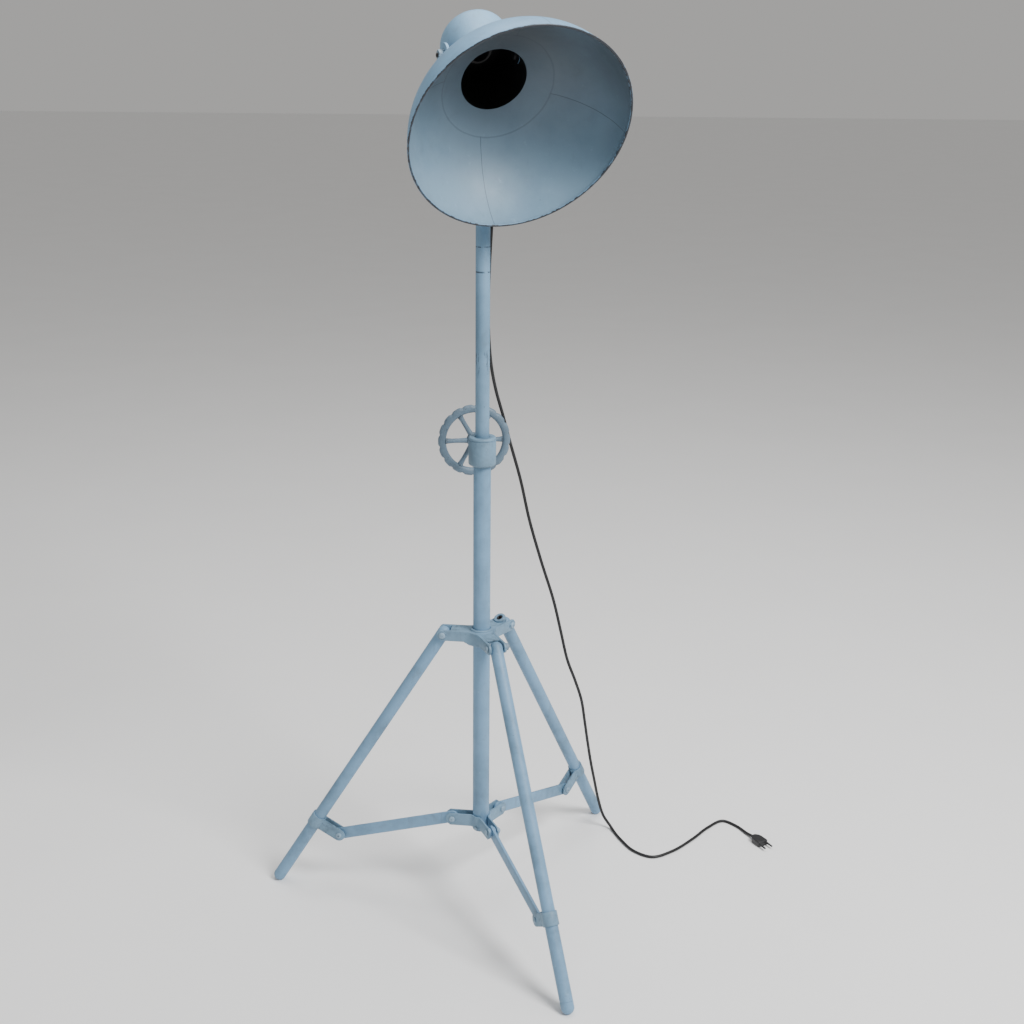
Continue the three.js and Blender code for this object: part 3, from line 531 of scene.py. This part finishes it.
def cord_mesh(name, line):
    data = bpy.data.curves.new(name, "CURVE")
    data.dimensions = "3D"
    data.bevel_depth = CORD_DIAMETER / 2000
    data.bevel_resolution = 4
    data.use_fill_caps = True
    spline = data.splines.new("POLY")
    spline.points.add(len(line) - 1)
    for point, spot in zip(spline.points, line):
        point.co = (*spot, 1)
    carrier = bpy.data.objects.new(name, data)
    bpy.context.scene.collection.objects.link(carrier)
    bpy.context.view_layer.update()
    mesh = bpy.data.meshes.new_from_object(carrier.evaluated_get(bpy.context.evaluated_depsgraph_get()))
    bpy.data.objects.remove(carrier)
    bm = bmesh.new()
    bm.from_mesh(mesh)
    bmesh.ops.remove_doubles(bm, verts=bm.verts, dist=1e-6)
    bmesh.ops.recalc_face_normals(bm, faces=bm.faces)
    bm.to_mesh(mesh)
    bm.free()
    mesh.polygons.foreach_set("use_smooth", [True] * len(mesh.polygons))
    mesh.materials.clear()
    mesh.materials.append(CORD)
    piece = bpy.data.objects.new(name, mesh)
    bpy.context.scene.collection.objects.link(piece)
    return piece


def make_plug():
    end, before = Vector(CORD_ROUTE[-1]), Vector(CORD_ROUTE[-2])
    heading = end - before
    place = move(*end) @ Matrix.Rotation(math.atan2(-heading.x, heading.y), 4, "Z") @ move(y=0.9)
    piece = Piece("mains_plug")
    outline = [(-4.2, 0), (4.2, 0), (10.5, 7), (12.6, 13), (12.9, 30), (12.4, 36), (-12.4, 36), (-12.9, 30)]
    outline += [(-12.6, 13), (-10.5, 7)]
    piece.take(slab(outline, -6.6, 6.6, 2.2, 4))
    piece.take(slab([(-9, 15), (9, 15), (9, 27), (-9, 27)], 5.5, 6.7, 0.5))
    for side in (-1, 1):
        sleeve = lathe([(0, 35), (2.4, 35), (2.4, 44), (2.1, 44.4), (0, 44.4)], 20)
        piece.take(sleeve, move(x=side * 9.5) @ TO_Y)
        pin = lathe([(0, 44), (2.05, 44), (2.05, 53.6), (1.3, 54.9), (0, 55)], 20)
        piece.take(pin, move(x=side * 9.5) @ TO_Y)
    return piece.place_piece(place, "stand", BLACK, "black_plastic", ["plug"])


def bend_relief(reach=34.0, around=24):
    """Tapered boot that follows the cord out of its gland, hollow for the cord."""
    route = smooth_route(CORD_ROUTE[:6], 12)
    travelled, rows, last = 0.0, [], route[0]
    for spot in route:
        travelled += (spot - last).length
        last = spot
        rows.append((travelled, spot))
        if travelled > reach:
            break
    bm = bmesh.new()
    rings = []
    for i, (travel, spot) in enumerate(rows):
        ahead = (rows[min(i + 1, len(rows) - 1)][1] - rows[max(i - 1, 0)][1]).normalized()
        side = ahead.cross(Vector((0, 0, 1))).normalized()
        above = side.cross(ahead)
        share = travel / rows[-1][0]
        outer = 6.6 * (1 - share) + 4.1 * share + (0.35 if i % 4 in (1, 2) and 2 < i < len(rows) - 3 else 0)
        pair = []
        for radius in (outer, 3.5):
            loop = []
            for j in range(around):
                angle = 2 * math.pi * j / around
                loop.append(bm.verts.new(spot + (side * math.cos(angle) + above * math.sin(angle)) * radius))
            pair.append(loop)
        rings.append(pair)
    for first, second in zip(rings, rings[1:]):
        for wall in (0, 1):
            for j in range(around):
                k = (j + 1) % around
                bm.faces.new((first[wall][j], first[wall][k], second[wall][k], second[wall][j]))
    for pair in (rings[0], rings[-1]):
        for j in range(around):
            k = (j + 1) % around
            bm.faces.new((pair[0][j], pair[0][k], pair[1][k], pair[1][j]))
    bmesh.ops.recalc_face_normals(bm, faces=bm.faces)
    return bm


def make_cords():
    plug = make_plug()
    per_span = 8
    line = [TO_FRAME @ spot for spot in smooth_route(CORD_ROUTE, per_span)]
    cuts = [0, LEAD_END * per_span, SWIVEL_END * per_span, len(line) - 1]
    names = ["cord_lead_sheath", "cord_swivel_sheath", "cord_drop_sheath"]
    nodes = ["cord_lead", "cord_swivel", "cord_drop"]
    pairs = [("head", "yoke"), ("yoke", "lift_mast"), ("lift_mast", "stand")]
    ends = ["object", "object", "plug"]
    for i, (name, node, pair, far_end) in enumerate(zip(names, nodes, pairs, ends)):
        stretch = line[cuts[i]:cuts[i + 1] + 1]
        piece = cord_mesh(name, stretch)
        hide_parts(node)
        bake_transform(piece)


set_camera()
make_cords()


# ---- mast ---------------------------------------------------------------------------------------
def make_mast():
    outer = [(MAST["bore"], MAST["bottom"]), (MAST["radius"], MAST["bottom"])]
    outer += [(MAST["radius"], MAST["top"]), (MAST["bore"], MAST["top"])]
    tube = Piece("mast_tube_skin").take(lathe(outer, 64, ring=True, round_off=0.6))
    tube.place_piece(Matrix(), "stand", MAST_TUBE, "painted_tube", ["mast_outer_tube"])

    inner = [(LIFT["bore"], LIFT["bottom"]), (LIFT["radius"], LIFT["bottom"])]
    inner += [(LIFT["radius"], LIFT["top"]), (LIFT["bore"], LIFT["top"])]
    tube = Piece("lift_tube_skin").take(lathe(inner, 64, ring=True, round_off=0.6))
    tube.place_piece(Matrix(), "lift_mast", SLIDE_TUBE, "painted_tube", ["mast_inner_tube"])

    plug = [(0, 156.5), (14.5, 156.5), (16.2, 157), (16.85, 158.2), (16.85, 159.7), (13.4, 159.7)]
    plug += [(13.4, 170), (0, 170)]
    Piece("mast_end_cap").take(lathe(plug, 48)).place_piece(
        Matrix(), "stand", CASTING, "painted_casting", ["mast_end_plug"]
    )

    low, high, radius = COLLAR["bottom"], COLLAR["top"], COLLAR["radius"]
    neck = low - COLLAR["neck"]
    body = [(17.15, neck), (19.4, neck), (19.6, low - 0.6), (24.4, low), (25.9, low + 1.2)]
    body += [(radius, low + 3.6), (radius, high - 6.8), (26.2, high - 6.3), (25.2, high - 6.1)]
    body += [(25.2, high - 5.5), (25.9, high - 5.2), (26.1, high - 4.6), (26.1, high - 2.6)]
    body += [(25.5, high - 1.2), (24.6, high - 0.3)]
    body += [(23.4, high), (15.5, high), (14, high - 1), (14, high - 5.6), (17.15, high - 5.6)]
    collar = Piece("collar_casting").take(lathe(body, 64, ring=True))
    boss = lathe([(5.5, 18), (12, 18), (12, 42.5), (10.8, 44.6), (5.5, 45)], 40, ring=True, round_off=0.4)
    collar.take(boss, AT_WHEEL @ TO_X)
    collar.place_piece(Matrix(), "stand", CASTING, "painted_casting", ["clamp_collar"])

    lock = [(0, 11.4), (3, 11.4), (3, 14.2), (4.8, 14.2), (4.8, 15.2), (4.1, 15.8), (2.2, 15.9)]
    lock += [(1.9, 15), (0, 15)]
    at_lock = move(z=LIFT["top"] - 25) @ facing(HEAD["azimuth"] + 180) @ TO_X
    Piece("swivel_lock").take(lathe(lock, 24)).place_piece(
        at_lock, "lift_mast", FASTENER, "painted_fastener", ["swivel_lock_screw"]
    )


# ---- handwheel ----------------------------------------------------------------------------------
def make_wheel():
    wheel = Piece("wheel_casting")
    centre = WHEEL["radius"] - WHEEL["rim"]
    section = [
        (centre + WHEEL["rim"] * math.copysign(abs(math.cos(a)) ** 0.85, math.cos(a)),
         6.4 * math.copysign(abs(math.sin(a)) ** 0.85, math.sin(a)))
        for a in (2 * math.pi * i / 20 for i in range(20))
    ]
    rim = lathe(section, 216, ring=True)
    for vert in rim.verts:
        reach = math.hypot(vert.co.x, vert.co.y)
        share = max(0.0, (reach - centre) / WHEEL["rim"])
        turned = WHEEL["lobes"] * math.atan2(vert.co.y, vert.co.x)
        wave = -2.6 * share * (0.5 + 0.5 * math.cos(turned)) ** 5
        vert.co.x *= (reach + wave) / reach
        vert.co.y *= (reach + wave) / reach
    wheel.take(rim, TO_X)
    for i in range(WHEEL["spokes"]):
        angle = (i + 0.5) * 360 / WHEEL["spokes"]
        spoke = lathe([(0, 9), (6.2, 9), (5.3, 16), (4.6, 30), (4.5, 44), (5.2, 52), (6.2, 57), (0, 59)], 20)
        wheel.take(spoke, turn(angle, "X"))
    hub = [(5.4, -9), (12, -9), (13.6, -7.5), (15, -3), (15, 5), (13.8, 9.5), (11.5, 13), (5.4, 13)]
    wheel.take(lathe(hub, 40, ring=True, round_off=0.4), TO_X)
    wheel.place_piece(
        AT_WHEEL @ move(x=WHEEL["out"]), "wheel", WHEEL_CAST, "painted_casting", ["handwheel"], smooth=50
    )
    screw = [(0, 13.85), (3.5, 13.85), (5, 15.6), (5, 70), (8.2, 70), (8.5, 70.4), (8.5, 91.4), (8.2, 92)]
    screw += [(5, 92)]
    z = 92.0
    while z < 124:
        screw += [(5, z), (4.6, z + 0.5), (5, z + 1)]
        z += 1.25
    screw += [(4.4, 126), (0, 126)]
    Piece("clamp_spindle").take(lathe(screw, 28), TO_X).place_piece(
        AT_WHEEL, "wheel", FASTENER, "painted_fastener", ["clamp_screw"]
    )
    nut = Piece("wheel_nut_skin").take(hex_nut(16, WHEEL["out"] + 13.3, WHEEL["out"] + 20.3), TO_X)
    nut.place_piece(AT_WHEEL, "wheel", FASTENER, "painted_fastener", ["wheel_nut"])


# ---- hubs ---------------------------------------------------------------------------------------
def between_arms(offset, reach, fillet, count=14):
    """Line along one arm's cheek, round the corner beside the mast and out along the next cheek.
    It lies in the plan of two arms at -60 and +60 degrees from X."""
    peak = offset / math.sin(math.radians(60))
    centre = peak + fillet / math.sin(math.radians(60))
    points = []
    for side in (-1, 1):
        along = Vector((math.cos(math.radians(60)), side * math.sin(math.radians(60))))
        inward = Vector((math.sin(math.radians(60)), -side * math.cos(math.radians(60))))
        end = along * reach + inward * offset
        points.append((end.x, end.y))
    bend = arc(centre, 0, fillet, 210, 150, count)
    return [points[0]] + bend + [points[1]]


def bent_wall(outer_offset, thickness, reach, fillet):
    outside = between_arms(outer_offset, reach, fillet)
    inside = between_arms(outer_offset - thickness, reach, fillet + thickness)
    return outside + inside[::-1]


def make_upper_hub():
    hub = Piece("leg_hub_casting")
    tip = UPPER["bottom"] + 11.5
    end = LEG["out"] + 11.5
    for azimuth in ARMS.values():
        wall = slab(bent_wall(UPPER["outer"], 5.3, end, UPPER["fillet"]), UPPER["bottom"], UPPER["top"])
        middle = facing(azimuth + 60)
        for side in (-1, 1):
            along = Vector((math.cos(math.radians(60)), side * math.sin(math.radians(60)), 0))
            for angle in (-62, -35, 35, 62):
                tilt = math.radians(angle)
                normal = along * math.cos(tilt) + Vector((0, 0, 1)) * math.sin(tilt)
                shave(wall, along * LEG["out"] + Vector((0, 0, tip)) + normal * 11.3, normal)
        rounded(wall, 1.5, 3, 20)
        hub.take(wall, middle)
        web = slab([(19, -16), (34, -13.8), (61, -13.6), (61, 13.6), (34, 13.8), (19, 16)], 596.4, 600.1, 0.9)
        hub.take(web, facing(azimuth))
        hollow = (UPPER["outer"] + UPPER["fillet"]) / math.sin(math.radians(60))
        skirt = arc(hollow, 0, UPPER["fillet"] + 0.1, 208, 152, 14)
        skirt += arc(hollow, 0, UPPER["fillet"] + 5, 152, 208, 14)
        hanging = slab(skirt, UPPER["skirt"], 580)
        for side in (-1, 1):
            shave(hanging, Vector((30, side * 9, UPPER["skirt"])), Vector((0, side * 0.45, -0.893)))
        hub.take(rounded(hanging, 1.0, 2), middle)
        for side in (-1, 1):
            eye = lathe([(0, 0), (8.6, 0), (8.6, 1.0), (8.0, 1.5), (0, 1.5)], 28)
            at_eye = facing(azimuth) @ move(LEG["out"], side * (UPPER["outer"] - 0.6), LEG["up"])
            hub.take(eye, at_eye @ (TO_Y if side > 0 else turn(180, "X") @ TO_Y))
    ring = [(HUB_BORE, 573.2), (22.4, 573.2), (23, 574), (23, 595.6), (28.4, 596.2), (28.6, 599.4)]
    ring += [(27.8, 600.1), (23.6, 600.3), (22.4, 601.2), (22.1, 603.6), (20.8, 604.8), (18.6, 605), (HUB_BORE, 604)]
    hub.take(lathe(ring, 64, ring=True))
    boss = [(0, 0), (12, 0), (12.1, 7.6), (11.5, 9.3), (10.4, 10), (6.9, 10), (6.4, 9.5)]
    boss += [(6.4, 0.8), (0, 0.8)]
    hub.take(lathe(boss, 40), AT_BOSS @ TO_X)
    hub.place_piece(Matrix(), "leg_hub", CASTING, "painted_casting", ["upper_hub"])

    lock = lathe([(0, 1.2), (6, 1.2), (6, 8.4), (5.4, 9), (3.9, 9), (3.5, 8.6), (3.5, 4), (0, 4)], 24)
    for vert in lock.verts:
        if 3 < math.hypot(vert.co.x, vert.co.y) < 3.8:
            beside = (math.degrees(math.atan2(vert.co.y, vert.co.x)) + 360) % 60 - 30
            stretch = 1.1 * math.cos(math.radians(30)) / math.cos(math.radians(beside))
            vert.co.x *= stretch
            vert.co.y *= stretch
    Piece("hub_lock").take(lock, TO_X).place_piece(
        AT_BOSS, "leg_hub", STEEL, "dark_steel", ["hub_lock_screw"]
    )


def make_lower_hub():
    hub = Piece("strut_hub_plates")
    low, high = LOWER["bottom"], LOWER["top"]
    for azimuth in ARMS.values():
        outline = lower_plate_outline()
        wall = slab(outline, low, high)
        for side in (-1, 1):
            along = Vector((math.cos(math.radians(60)), side * math.sin(math.radians(60)), 0))
            for angle in (-50, 50):
                tilt = math.radians(angle)
                normal = along * math.cos(tilt) + Vector((0, 0, 1)) * math.sin(tilt)
                shave(wall, along * STRUT["out"] + Vector((0, 0, STRUT["up"])) + normal * 13.2, normal)
        rounded(wall, 0.7, 2, 20)
        hub.take(wall, facing(azimuth + 60))
    tab = [(-10, 176)] + arc(0, LOWER["tab"] + 10, 10, 180, 360, 14) + [(10, 176)]
    hub.take(slab(tab, -20.9, -17.3, 0.7), facing(TAB_AZIMUTH) @ turn(90, "Z") @ UPRIGHT)
    hub.place_piece(Matrix(), "stand", CASTING, "painted_casting", ["lower_hub"])
    screw = [(0, 17.2), (2.1, 17.2), (2.1, 21.1), (4.3, 21.1), (4.1, 22.4), (3.2, 23.4)]
    screw += [(1.2, 23.8), (0, 23.8)]
    Piece("tab_screw_skin").take(lathe(screw, 20), TO_X).place_piece(
        AT_TAB, "stand", FASTENER, "painted_fastener", ["tab_screw"]
    )


def lower_plate_outline():
    """Plate that runs out along one cheek, hugs the mast between two arms and follows the next cheek."""
    offset, thick, hug = LOWER["outer"], 3.5, 20.7
    fillet = 7
    reach = hug + fillet
    bend_out = math.sqrt(reach * reach - (offset + fillet) ** 2)
    turn_angle = math.degrees(math.atan2(offset + fillet, bend_out))
    outline = []
    for radius, wrap, flip in ((fillet, hug, False), (fillet + thick, hug - thick, True)):
        path = []
        for side in (-1, 1):
            arm_angle = 60 * side
            centre_angle = math.radians(arm_angle - side * turn_angle)
            cx, cy = reach * math.cos(centre_angle), reach * math.sin(centre_angle)
            along = Vector((math.cos(math.radians(arm_angle)), math.sin(math.radians(arm_angle))))
            inward = Vector((math.sin(math.radians(60)), -side * math.cos(math.radians(60))))
            edge = offset if not flip else offset - thick
            tip = along * LOWER["end"] + inward * edge
            to_mast = arm_angle - side * turn_angle + 180
            to_line = math.degrees(math.atan2(-inward.y, -inward.x))
            delta = (to_line - to_mast + 180) % 360 - 180
            bend = arc(cx, cy, radius, to_line, to_line - delta, 6)
            piece = [tuple(tip)] + bend
            path.append(piece if side < 0 else piece[::-1])
        half = 60 - turn_angle
        middle = arc(0, 0, wrap, -half, half, 6)[1:-1]
        whole = path[0] + middle + path[1]
        outline.append(whole)
    return outline[0] + outline[1][::-1]


# ---- legs and struts ----------------------------------------------------------------------------
def make_bolt_and_nut(arm, name, side, place, body, sizes, nodes):
    head, height, face, shank, tip, across, thick = sizes
    bolt_shape, lay = domed_bolt(side, head, height, face, shank, tip)
    Piece(f"{name}_bolt_skin_{arm}").take(bolt_shape, lay).place_piece(
        place, body, FASTENER, "painted_fastener", [nodes[0]]
    )
    nut = hex_nut(across, face, face + thick)
    Piece(f"{name}_nut_skin_{arm}").take(nut, turn(180, "X") @ TO_Y if side > 0 else TO_Y).place_piece(
        place, body, FASTENER, "painted_fastener", [nodes[1]]
    )


def make_leg(arm):
    azimuth, side = ARMS[arm], HEAD_SIDE[arm]
    pivot = facing(azimuth) @ move(LEG["out"], 0, LEG["up"])
    leg = pivot @ turn(-LEG["tilt"], "Y")
    body = f"leg_{arm}"
    radius, bore, end = LEG["radius"], LEG["bore"], -(LEG["length"] - 10)
    dome = [(radius * math.sin(a), radius * math.cos(a)) for a in (math.pi / 2 * i / 10 for i in range(11))]
    wall = [(radius, end), (bore, end), (bore, -16), (0, -16)]
    tube = Piece(f"leg_skin_{arm}").take(lathe(dome + wall, 48))
    tube.place_piece(leg, body, TUBE, "painted_tube", [f"leg_tube_{arm}"])

    centre = -LEG["length"]
    foot = [(0, centre + 30), (bore - 0.4, centre + 30), (bore - 0.4, centre + 9.7), (radius, centre + 9.7)]
    quarter = [math.pi / 2 * i / 12 for i in range(13)]
    foot += [(radius * math.cos(a), centre - radius * math.sin(a)) for a in quarter]
    shape = lathe(foot, 48)
    shape.transform(leg)
    shave(shape, Vector(), Vector((0, 0, -1)))
    Piece(f"foot_skin_{arm}").take(shape).place_piece(
        Matrix(), body, TUBE, "painted_tube", [f"foot_plug_{arm}"]
    )

    knee = leg @ move(z=-BRACKET["along"])
    half, reach = BRACKET["width"] / 2, BRACKET["reach"]
    bracket = Piece(f"bracket_skin_{arm}")
    band = [(13, -half), (BRACKET["band"], -half), (BRACKET["band"], half), (13, half)]
    bracket.take(lathe(band, 48, ring=True, round_off=0.7))
    cheek = [(-10.6, half - 0.4)] + arc(-reach, 0, half - 0.4, 90, 270, 18) + [(-10.6, 0.4 - half)]
    for cheek_side in (-1, 1):
        low, high = sorted((cheek_side * BRACKET["inner"], cheek_side * BRACKET["outer"]))
        bracket.take(slab(cheek, -high, -low, 0.7), UPRIGHT)
    bracket.place_piece(knee, body, CASTING, "painted_casting", [f"leg_bracket_{arm}"])

    stub = knee @ move(x=-reach)
    face = BRACKET["outer"] + 0.3
    sizes = (6.2, 3.6, face, 3.8, BRACKET["inner"] + 0.3, 11, 5)
    make_bolt_and_nut(arm, "bracket", side, stub, body, sizes, [f"bracket_bolt_{arm}", f"bracket_nut_{arm}"])
    face = UPPER["outer"] + 0.3 + 0.6
    sizes = (6.5, 3.6, face, 4, -face - 7.4, 12.5, 5.2)
    nodes = [f"leg_pivot_bolt_{arm}", f"leg_pivot_nut_{arm}"]
    make_bolt_and_nut(arm, "leg_pivot", side, pivot, "leg_hub", sizes, nodes)


def make_strut(arm):
    azimuth, side = ARMS[arm], HEAD_SIDE[arm]
    root = facing(azimuth) @ move(STRUT["out"], 0, STRUT["up"])
    half, length = STRUT["width"] / 2, STRUT["length"]
    outline = arc(0, 0, half, 90, 270, 18) + arc(length, 0, half, -90, 90, 18)
    strut = Piece(f"strut_skin_{arm}")
    strut.take(slab(outline, -STRUT["thick"] / 2, STRUT["thick"] / 2, 0.8, 3), UPRIGHT)
    for x, reach in ((0, LOWER["inner"] - 0.3), (length, BRACKET["inner"] - 0.3)):
        boss = lathe([(4.2, -reach), (9, -reach), (9, reach), (4.2, reach)], 32, ring=True, round_off=0.4)
        strut.take(boss, move(x=x) @ TO_Y)
    strut.place_piece(root @ turn(STRUT["tilt"], "Y"), f"strut_{arm}", TUBE, "painted_tube", [f"strut_{arm}"])
    face = LOWER["outer"] + 0.3
    sizes = (6.5, 4, face, 3.7, -face - 6.6, 11, 5)
    nodes = [f"strut_pivot_bolt_{arm}", f"strut_pivot_nut_{arm}"]
    make_bolt_and_nut(arm, "strut_pivot", side, root, "stand", sizes, nodes)


# ---- head ---------------------------------------------------------------------------------------
def arc_through(start, middle, end):
    """Centre, radius and end angles of the circle through three points."""
    (ax, ay), (bx, by), (cx, cy) = start, middle, end
    a2, b2, c2 = ax * ax + ay * ay, bx * bx + by * by, cx * cx + cy * cy
    d = 2 * (ax * (by - cy) + bx * (cy - ay) + cx * (ay - by))
    x = (a2 * (by - cy) + b2 * (cy - ay) + c2 * (ay - by)) / d
    y = (a2 * (cx - bx) + b2 * (ax - cx) + c2 * (bx - ax)) / d
    radius = math.hypot(ax - x, ay - y)
    first = math.degrees(math.atan2(ay - y, ax - x))
    last = math.degrees(math.atan2(cy - y, cx - x))
    return x, y, radius, first, last


def make_shade():
    sheet, bead = SHADE["sheet"], SHADE_RIM["bead"]
    rim = (SHADE_RIM["out"] - bead, SHADE_RIM["radius"])
    x, y, radius, first, last = arc_through((SHADE["seam_out"], SHADE["seam"]), SHADE_MIDDLE, rim)
    outer = arc(x, y, radius, first, last, 28)
    inner = arc(x, y, radius - sheet, first, last, 28)
    neck, back, front = SHADE["neck"], SHADE["neck_back"], SHADE["neck_front"]
    roll_x, roll_y = SHADE_RIM["out"] - bead, SHADE_RIM["radius"] - 0.2
    roll = arc(roll_x, roll_y, bead, 70, -120, 12)
    profile = [(back, neck), (front, neck)] + outer[:-1] + roll + inner[::-1][1:-1]
    profile += [(SHADE["seam_out"] + sheet * 0.8, SHADE["seam"] - sheet * 1.2)]
    profile += [(front + 1, neck - sheet), (back, neck - sheet)]
    bm = lathe([(r, x) for x, r in profile], 160, ring=True)
    bm.transform(TO_X)
    bm.normal_update()
    for face in bm.faces:
        spot = face.calc_center_median()
        inward = face.normal.y * spot.y + face.normal.z * spot.z < 0
        outside = not inward or spot.x > SHADE_RIM["out"] - 1.6
        # The inside of the neck takes the near black painted shade.
        within = 2 if spot.x < front + 1 else 1
        face.material_index = 0 if outside else within
    piece = Piece("shade_skin").take(bm)
    piece.place_piece(
        SHADE_AXIS, "head", SHEET, "painted_sheet", ["shade"], smooth=30, extra=(SHADED_BOWL, PAINTED_SHADE_BLACK)
    )


def cap_profile(radius, depth, front, count=16):
    profile = [(radius, front), (radius, CAP["shoulder"])]
    for i in range(1, count):
        angle = math.pi / 2 * i / count
        power = 2 / CAP["power"]
        along = CAP["shoulder"] - depth * math.sin(angle) ** power
        profile.append((radius * math.cos(angle) ** power, along))
    return profile + [(0, CAP["shoulder"] - depth)]


def make_cap():
    wall = CAP["wall"]
    outer = cap_profile(CAP["radius"], CAP["depth"], CAP["front"])
    inner = cap_profile(CAP["radius"] - wall, CAP["depth"] - wall, CAP["front"])
    bm = lathe(outer[::-1] + inner, 96)
    piece = Piece("cap_skin").take(bm, SHADE_AXIS @ TO_X)
    for side in (-1, 1):
        shape = [(4.5, 59.5), (15, 59.5), (12.6, 65.5), (12, 71.2), (11.6, 71.7), (4.5, 71.7)]
        boss = lathe(shape, 40, ring=True)
        piece.take(boss, TILTED @ (TO_Y if side > 0 else turn(180, "X") @ TO_Y))
    axis_point = SHADE_AXIS.to_translation()
    forward = SHADE_AXIS.to_3x3() @ Vector((1, 0, 0))

    # Faces inside the cap take the near black painted shade.
    def inner_wall(face):
        offset = face.calc_center_median() - axis_point
        radial = offset - forward * offset.dot(forward)
        if offset.dot(forward) < CAP["shoulder"]:
            centre = forward * (CAP["shoulder"] + 20)
            return int(face.normal.dot(offset - centre) < 0)
        return int(face.normal.dot(radial) < -0.5 and radial.length < CAP["radius"])

    piece.bm.normal_update()
    piece.place_piece(
        Matrix(), "head", CAP_ENAMEL, "painted_sheet", ["lamp_cap"], extra=(PAINTED_SHADE_BLACK,), inner=inner_wall
    )

    holder = [(0, -87.6), (17, -87.6), (17, -83), (19, -80), (21, -77), (21, -60), (20.2, -59), (20.2, -56)]
    holder += [(21, -55), (21, -34), (23, -32), (23, -27), (22.4, -26), (18.8, -26), (18.2, -27)]
    holder += [(18.2, -66), (0, -66)]
    Piece("lampholder_skin").take(lathe(holder, 56), TO_X).place_piece(
        SHADE_AXIS, "head", BLACK, "black_plastic", ["lampholder"]
    )
    nipple = [(0, -87.9), (5, -87.9), (5, -91.3), (8.5, -91.3), (8.5, -94.4), (7.6, -95.4), (0, -95.9)]
    Piece("nipple_skin").take(lathe(nipple, 28), TO_X).place_piece(
        SHADE_AXIS, "head", FASTENER, "painted_fastener", ["holder_nipple"]
    )
    gland = [(3.6, -8), (6, -8), (6, 1.6), (10.4, 1.6), (11, 2.2), (11, 6.6), (10.2, 7.4), (9.5, 8)]
    gland += [(9.5, 13), (8.8, 15.5), (7.4, 18), (6.6, 21.4), (6, 22), (3.6, 22)]
    boot = Piece("gland_skin").take(lathe(gland, 36, ring=True, round_off=0.3))
    boot.take(bend_relief(), AT_GLAND.inverted())
    boot.place_piece(
        AT_GLAND, "head", BLACK, "black_plastic", ["cord_gland"]
    )


def make_yoke():
    inside, thick = YOKE["inside"], YOKE["thick"]
    low = YOKE["plate_bottom"]
    outside = inside + thick
    bend = 9
    outline = [(-outside, 4)] + arc(-outside + bend, low + bend, bend, 180, 270, 8)
    outline += arc(outside - bend, low + bend, bend, 270, 360, 8) + [(outside, 4), (inside, 4)]
    outline += arc(inside - 4, low + thick + 5, 4, 0, -90, 5)
    outline += arc(-inside + 4, low + thick + 5, 4, 270, 180, 5)
    outline += [(-inside, 4)]
    yoke = Piece("yoke_skin")
    yoke.take(slab(outline, -13, 13, 0.8), move(x=-4) @ turn(90, "Z") @ UPRIGHT)
    for side in (-1, 1):
        disc = [(4.5, inside - 0.1), (20.5, inside - 0.1), (21, inside + 0.4), (21, outside - 0.3)]
        disc += [(20.5, outside + 0.1), (4.5, outside + 0.1)]
        eye = lathe(disc, 48, ring=True)
        yoke.take(eye, TO_Y if side > 0 else turn(180, "X") @ TO_Y)
    stem = LIFT["top"] - HEAD["height"]
    collar = [(0, low + 1), (15.4, low + 1), (16, low - 0.4), (16, stem + 2.2), (15.2, stem + 0.8)]
    collar += [(14, stem + 0.4), (10.8, stem + 0.4), (10.8, stem - 60), (0, stem - 60)]
    yoke.take(lathe(collar, 48), move(x=-HEAD["forward"]))
    yoke.place_piece(SWIVEL, "yoke", CAP_ENAMEL, "painted_sheet", ["yoke"])

    for side, name in ((-1, "left"), (1, "right")):
        lay = TO_Y if side > 0 else turn(180, "X") @ TO_Y
        bolt = [(0, 52), (5, 52.4), (7.4, 54), (8, 55.4), (8, 56.5), (4, 56.5), (4, 89), (3.4, 90), (0, 90)]
        # The bolts sit inside the cap and take the near black painted shade, their outer tips too.
        Piece(f"trunnion_bolt_skin_{name}").take(lathe(bolt, 24), lay).place_piece(
            TILTED, "head", PAINTED_SHADE_BLACK, "painted_fastener", [f"trunnion_bolt_{name}"]
        )
        nut = Piece(f"trunnion_nut_skin_{name}")
        nut.take(lathe([(4.2, 77.4), (10.4, 77.4), (10.4, 78.6), (9.8, 79), (4.2, 79)], 32, ring=True), lay)
        nut.take(hex_nut(17, 79.1, 87.4), lay)
        nut.place_piece(TILTED, "head", FASTENER, "painted_fastener", [f"trunnion_nut_{name}"])


# ---- stage --------------------------------------------------------------------------------------
def make_stage():
    world = bpy.data.worlds.new("studio")
    world.use_nodes = True
    background = world.node_tree.nodes["Background"]
    background.inputs["Color"].default_value = (1.0, 0.985, 0.96, 1)
    background.inputs["Strength"].default_value = 0.42
    bpy.context.scene.world = world

    bm = bmesh.new()
    bmesh.ops.create_grid(bm, x_segments=2, y_segments=2, size=30)
    mesh = bpy.data.meshes.new("floor")
    bm.to_mesh(mesh)
    bm.free()
    floor = bpy.data.objects.new("floor", mesh)
    bpy.context.scene.collection.objects.link(floor)
    n = Nodes("pale_floor")
    tone = n.mix(n.noise(3, 4, 0.5), (0.86, 0.86, 0.86), (0.9, 0.9, 0.9))
    mesh.materials.append(n.done(tone, 0.9))

    for name, spot, size, power in (
        ("key", (2.4, -2.0, 3.8), 1.6, 260),
        ("fill", (-3.4, -1.6, 1.8), 2.4, 12),
        ("top", (0.2, 0.8, 4.4), 2.4, 80),
    ):
        light = bpy.data.lights.new(name, "AREA")
        light.size = size
        light.energy = power
        lamp = bpy.data.objects.new(name, light)
        bpy.context.scene.collection.objects.link(lamp)
        lamp.location = spot
        aim = Vector((0.05, 0, 1.0)) - Vector(spot)
        lamp.rotation_euler = aim.to_track_quat("-Z", "Y").to_euler()


make_mast()
make_wheel()
make_upper_hub()
make_lower_hub()
for arm_name in ARMS:
    make_leg(arm_name)
    make_strut(arm_name)
make_shade()
make_cap()
make_yoke()
make_stage()
